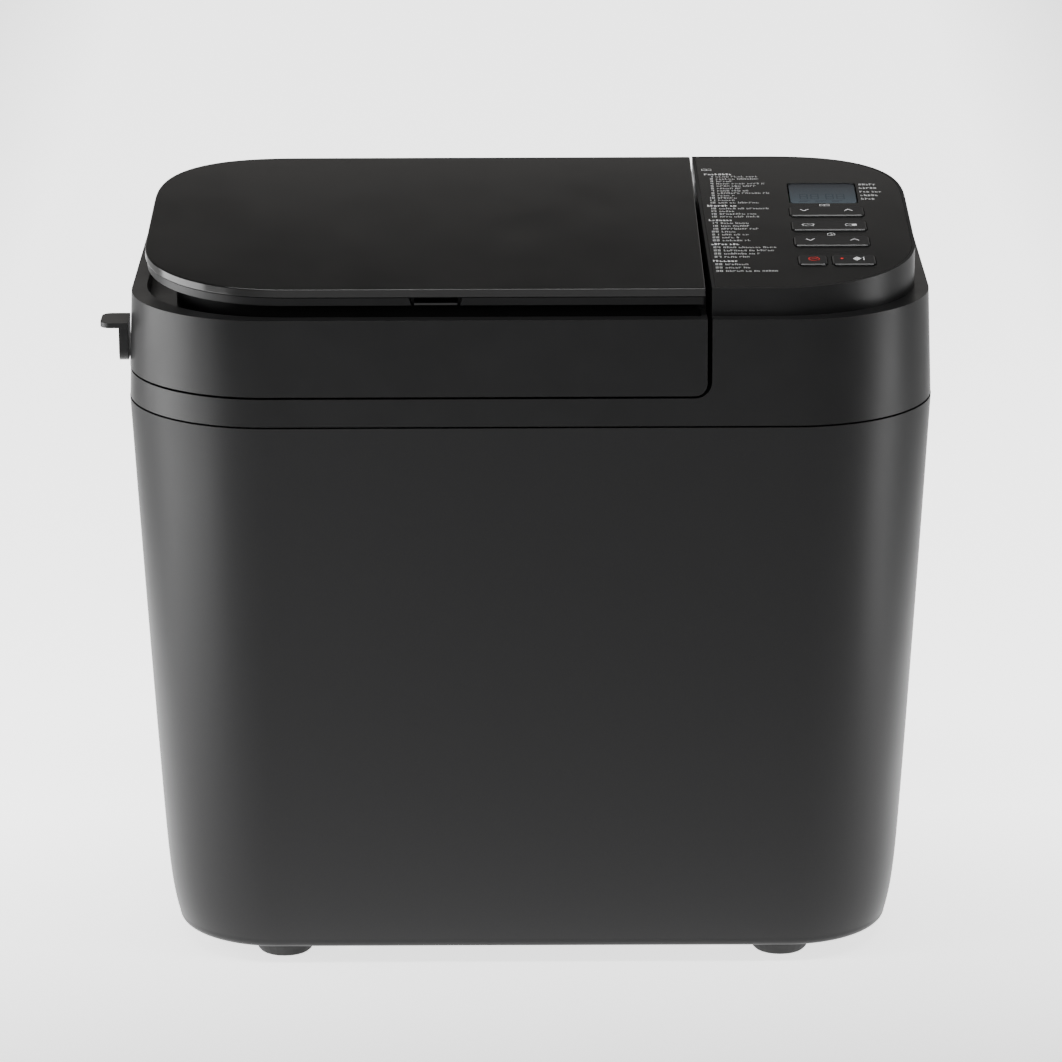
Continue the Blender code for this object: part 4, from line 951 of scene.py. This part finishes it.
def book():
    page = [(0.0, -0.0011), (0.0, 0.0012), (0.0012, 0.0017), (0.0024, 0.0013), (0.0024, -0.0010),
            (0.0012, -0.0006)]
    left = [(-x, y) for x, y in page]
    return [stroke_mesh(page, 0.00033, True), stroke_mesh(left, 0.00033, True)]


def clock():
    hands = [(0, 0.0011), (0, 0), (0.0008, -0.0005)]
    return [stroke_mesh(arc(0.0019, 0, 350, 26), 0.00036, True), stroke_mesh(hands, 0.00034)]


def loaf():
    crown = arc(0.0010, -20, 130, 8, (0.0020, 0.0007)) + arc(0.0010, 50, 200, 8, (-0.0020, 0.0007))
    outline = [(-0.0025, -0.0014), (0.0025, -0.0014), (0.0025, 0.0002), *crown, (-0.0025, 0.0002)]
    return [stroke_mesh(outline, 0.00034, True)]


def crust():
    outline = [(-0.0026, -0.0013), (0.0026, -0.0013), (0.0026, 0.0013), (-0.0026, 0.0013)]
    dark_end = [(0.0004, -0.0013), (0.0026, -0.0013), (0.0026, 0.0013), (0.0004, 0.0013)]
    return [stroke_mesh(outline, 0.00034, True), filled(dark_end)]


def key_marks():
    """Symbols that ride on the keys' tops and beside them on the panel."""
    mark_wide_keys(KEY_PROUD + INK_PROUD)
    mark_push_keys(KEY_PROUD + INK_PROUD)
    symbol("book_mark", book(), 0.1473, 0.0125)
    symbol("clock_mark", clock(), 0.1481, -0.0343)
    symbol("list_mark", book(), LIST_LEFT + 0.0014, HEADINGS[0] + 0.0075)


def mark_wide_keys(top):
    """An arrow at each end of the menu and time keys, and the loaf and its crust on the size key."""
    y = WIDE_KEYS["menu_key"] + 0.0008
    symbol("menu_down_mark", [chevron(False)], 0.1367, y, "menu_key", above=top, slot="key")
    symbol("menu_up_mark", [chevron(True)], 0.1586, y, "menu_key", above=top, slot="key")
    y = WIDE_KEYS["time_key"] + 0.0012
    symbol("time_down_mark", [chevron(False)], 0.1374, y, "time_key", above=top, slot="key")
    symbol("time_up_mark", [chevron(True)], 0.1590, y, "time_key", above=top, slot="key")
    y = WIDE_KEYS["size_key"]
    symbol("size_mark", loaf(), 0.1374, y, "size_key", above=top, slot="key")
    symbol("crust_mark", crust(), 0.1586, y, "size_key", above=top, slot="key")


def mark_push_keys(top):
    """A red ring on the stop key, and the start key's diamond with its lamp."""
    dash = stroke_mesh([(-0.0013, 0.0), (0.0013, 0.0)], 0.00042)
    ring = [stroke_mesh(arc(0.0026, 40, 380, 26), 0.00042), dash]
    symbol("stop_mark", ring, 0.1377, PUSH_KEY_Y + 0.0008, "stop_key", RED_INK, top, "key")
    diamond = [(0.0, -0.0030), (0.0021, 0.0), (0.0, 0.0030), (-0.0021, 0.0)]
    bar = [(0.0030, -0.0024), (0.0035, -0.0024), (0.0035, 0.0024), (0.0030, 0.0024)]
    start = [filled(diamond), filled(bar)]
    symbol("start_mark", start, 0.1585, PUSH_KEY_Y + 0.0008, "start_key", WHITE_INK, top, "key")
    lamp = [filled(circle(0.00075, 20))]
    symbol("start_lamp", lamp, 0.1512, PUSH_KEY_Y + 0.0012, "start_key", LAMP_INK, top, "key")


def phase_labels():
    """Five short words beside the display."""
    rng = random.Random(11)
    rows = []
    for i in range(PHASES):
        length = 0.0060 + 0.0045 * rng.random()
        letters(rows, PHASE_LEFT, PHASE_TOP - PHASE_PITCH * i, length, HEADING_SIZE, rng, 0.22)
    show_print("phase_labels", rows, GREY_INK)


# ---------------------------------------------------------------- display

def make_display():
    """The unlit display under its clear window: a face with rounded corners and faint segments."""
    half_x, half_y = DISPLAY_SIZE[0] / 2, DISPLAY_SIZE[1] / 2
    face = rounded(half_x - 0.0004, half_y - 0.0004, 0.0030, steps=8)
    mesh = loft([at_height(face, -0.0006), at_height(face, -0.0004)])
    mesh.transform(deck_matrix(*DISPLAY_CENTRE))
    show("display_face", mesh, "base", LOOKS["display"], "display", edge=0)
    clear = rounded(half_x - 0.0002, half_y - 0.0002, 0.0022, steps=8)
    mesh = loft([at_height(clear, -0.0003), at_height(clear, 0.0001)])
    mesh.transform(deck_matrix(*DISPLAY_CENTRE))
    show("window_skin", mesh, "base", WINDOW, "display", ["display_window"], edge=0.0001)
    parts = [stroke_mesh(points, 0.0007) for points in segment_lines()]
    symbol("display_segments", parts, *DISPLAY_CENTRE, look=SEGMENT_INK, above=-0.0004, slot="display")


def segment_lines():
    """Faint digits and frames of a clock display that is off."""
    lines = []
    for x in (-0.0115, -0.0060, 0.0015, 0.0070):
        w, h = 0.0036, 0.0033
        for y in (-0.0010, -0.0049):
            top = y - 0.0004
            lines += [[(x, y), (x + w, y)], [(x, top), (x, y - h)], [(x + w, top), (x + w, y - h)]]
        lines.append([(x, -0.0088), (x + w, -0.0088)])
    for x in (-0.0118, -0.0040, 0.0042):
        lines += [[(x, -0.0118), (x + 0.0050, -0.0118)], [(x, -0.0132), (x + 0.0034, -0.0132)]]
    return lines


# ---------------------------------------------------------------- remaining nodes

NODE_LOOKS = {
    "key": ["menu_key", "size_key", "time_key", "stop_key", "start_key"],
    "rubber": ["foot_front_left", "foot_front_right", "foot_back_left", "foot_back_right", "drive_belt"],
    "nonstick": ["bread_pan", "kneading_blade"],
    "heater": ["heater_element"],
    "board": ["control_board", "power_board"],
    "display": ["display_module"],
    "plain_plastic": ["drive_pulley", "relay", "motor_pulley"],
    "aluminium": ["baking_chamber", "lid_inner_cover", "pan_foot", "pan_mount", "bearing_housing",
                  "motor_capacitor"],
    "frame_black": ["base_plate", "cord_gland", "dispenser_door", "dispenser_hopper", "lid_body",
                    "lid_handle", "flap_base", "flap_catch", "upper_frame"],
}


def dress_nodes():
    """Finish and soft edges for every CAD node that is shown as it is."""
    looks = {name: slot for slot, names in NODE_LOOKS.items() for name in names}
    for name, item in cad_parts.items():
        slot = looks.get(name, "steel")
        item.data.materials.clear()
        item.data.materials.append(LOOKS[slot])
        if item.hide_render:
            continue
        item.data.shade_smooth()
        item.data.set_sharp_from_angle(angle=radians(CREASE))
        soften(item, KEY_EDGE if name.endswith("_key") else NODE_EDGE)


# ---------------------------------------------------------------- stage

def floor_material():
    """Pale floor that glows behind the machine and fades at the sides and in front."""
    look = Finish("floor_white", (0.80, 0.80, 0.80), 0.85, specular=0.2)
    look.vary_roughness(look.noise(2, 2), 0.02)
    split = look.node("ShaderNodeSeparateXYZ")
    look.link(look.place, split.inputs["Vector"])
    across = look.node("ShaderNodeMath", operation="ABSOLUTE")
    look.link(split.outputs["X"], across.inputs[0])
    side = look.span(across.outputs[0], FLOOR_GLOW, FLOOR_DIM, *FLOOR_FADE_X)
    front = look.span(split.outputs["Y"], FLOOR_DIM / FLOOR_GLOW, 1.0, *FLOOR_FADE_Y)
    both = look.node("ShaderNodeMath", operation="MULTIPLY")
    look.link(side, both.inputs[0])
    look.link(front, both.inputs[1])
    look.set("Emission Color", (1.0, 1.0, 1.0, 1.0))
    look.link(both.outputs[0], look.shader.inputs["Emission Strength"])
    return look.material


def make_stage():
    """A pale floor, wide enough to fill the view behind the machine."""
    shape = bmesh.new()
    corners = [shape.verts.new(corner) for corner in ((-4, -3, 0), (4, -3, 0), (4, 4, 0), (-4, 4, 0))]
    shape.faces.new(corners)
    floor = bpy.data.objects.new("floor", finish_mesh(shape))
    floor.data.materials.append(floor_material())
    bpy.context.scene.collection.objects.link(floor)
    floor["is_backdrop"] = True


def soft_box(name, place, aim, size, radiance, colour=(1, 1, 1)):
    """An area light of a stated brightness, whatever its size."""
    data = bpy.data.lights.new(name, "AREA")
    data.shape = "RECTANGLE"
    data.size, data.size_y = size
    data.energy = radiance * pi * size[0] * size[1]
    data.color = colour
    lamp = bpy.data.objects.new(name, data)
    bpy.context.scene.collection.objects.link(lamp)
    lamp.location = place
    lamp.visible_camera = False
    lamp.rotation_euler = (Vector(aim) - Vector(place)).to_track_quat("-Z", "Y").to_euler()


def make_lights():
    """Two soft boxes on each side, a card behind for the deck, a strip above, and a weak front fill."""
    soft_box("left_low", (-0.66, -0.24, 0.06), (-0.17, -0.06, 0.14), (0.60, 0.22), 11.0)
    soft_box("left_high", (-0.66, -0.06, 0.30), (-0.17, -0.04, 0.30), (0.52, 0.26), 7.0)
    soft_box("right_low", (0.66, -0.17, 0.06), (0.17, -0.06, 0.14), (0.20, 0.22), 10.0)
    soft_box("right_high", (0.66, -0.12, 0.30), (0.17, -0.04, 0.30), (0.18, 0.26), 5.0)
    soft_box("back_card", (0.0, 1.15, 0.55), (0.0, 0.0, 0.45), (2.4, 0.42), 0.46, (1.0, 0.97, 0.93))
    soft_box("front_fill", (0.0, -2.6, 1.6), (0.0, 0.0, 0.2), (2.0, 1.4), 2.0)
    soft_box("top_strip", (0.0, -0.45, 1.75), (0.0, -0.1, 0.3), (1.8, 0.22), 19.0)
    world = bpy.data.worlds.new("room")
    bpy.context.scene.world = world
    world.use_nodes = True
    shade = world.node_tree.nodes["Background"]
    shade.inputs["Color"].default_value = (1.0, 1.0, 1.0, 1.0)
    shade.inputs["Strength"].default_value = 0.05


def make_camera():
    data = bpy.data.cameras.new("front")
    data.lens = CAMERA_LENS
    data.sensor_width = SENSOR
    camera = bpy.data.objects.new("front", data)
    bpy.context.scene.collection.objects.link(camera)
    back = CAMERA_DISTANCE * cos(CAMERA_PITCH)
    rise = CAMERA_DISTANCE * sin(CAMERA_PITCH)
    camera.location = (MACHINE_X, -back, CAMERA_AIM_Z + rise)
    turn = Matrix.Rotation(pi / 2 - CAMERA_PITCH, 4, "X") @ Matrix.Rotation(-CAMERA_ROLL, 4, "Z")
    camera.rotation_euler = turn.to_euler()
    bpy.context.scene.camera = camera


make_shell()
make_frame()
make_panel()
make_lid()
make_flap()
make_handle()
make_display()
print_numbers()
phase_labels()
key_marks()
dress_nodes()
make_stage()
make_lights()
make_camera()

[[list(corner) for corner in corners] for corners in (cad_bounds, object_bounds())]
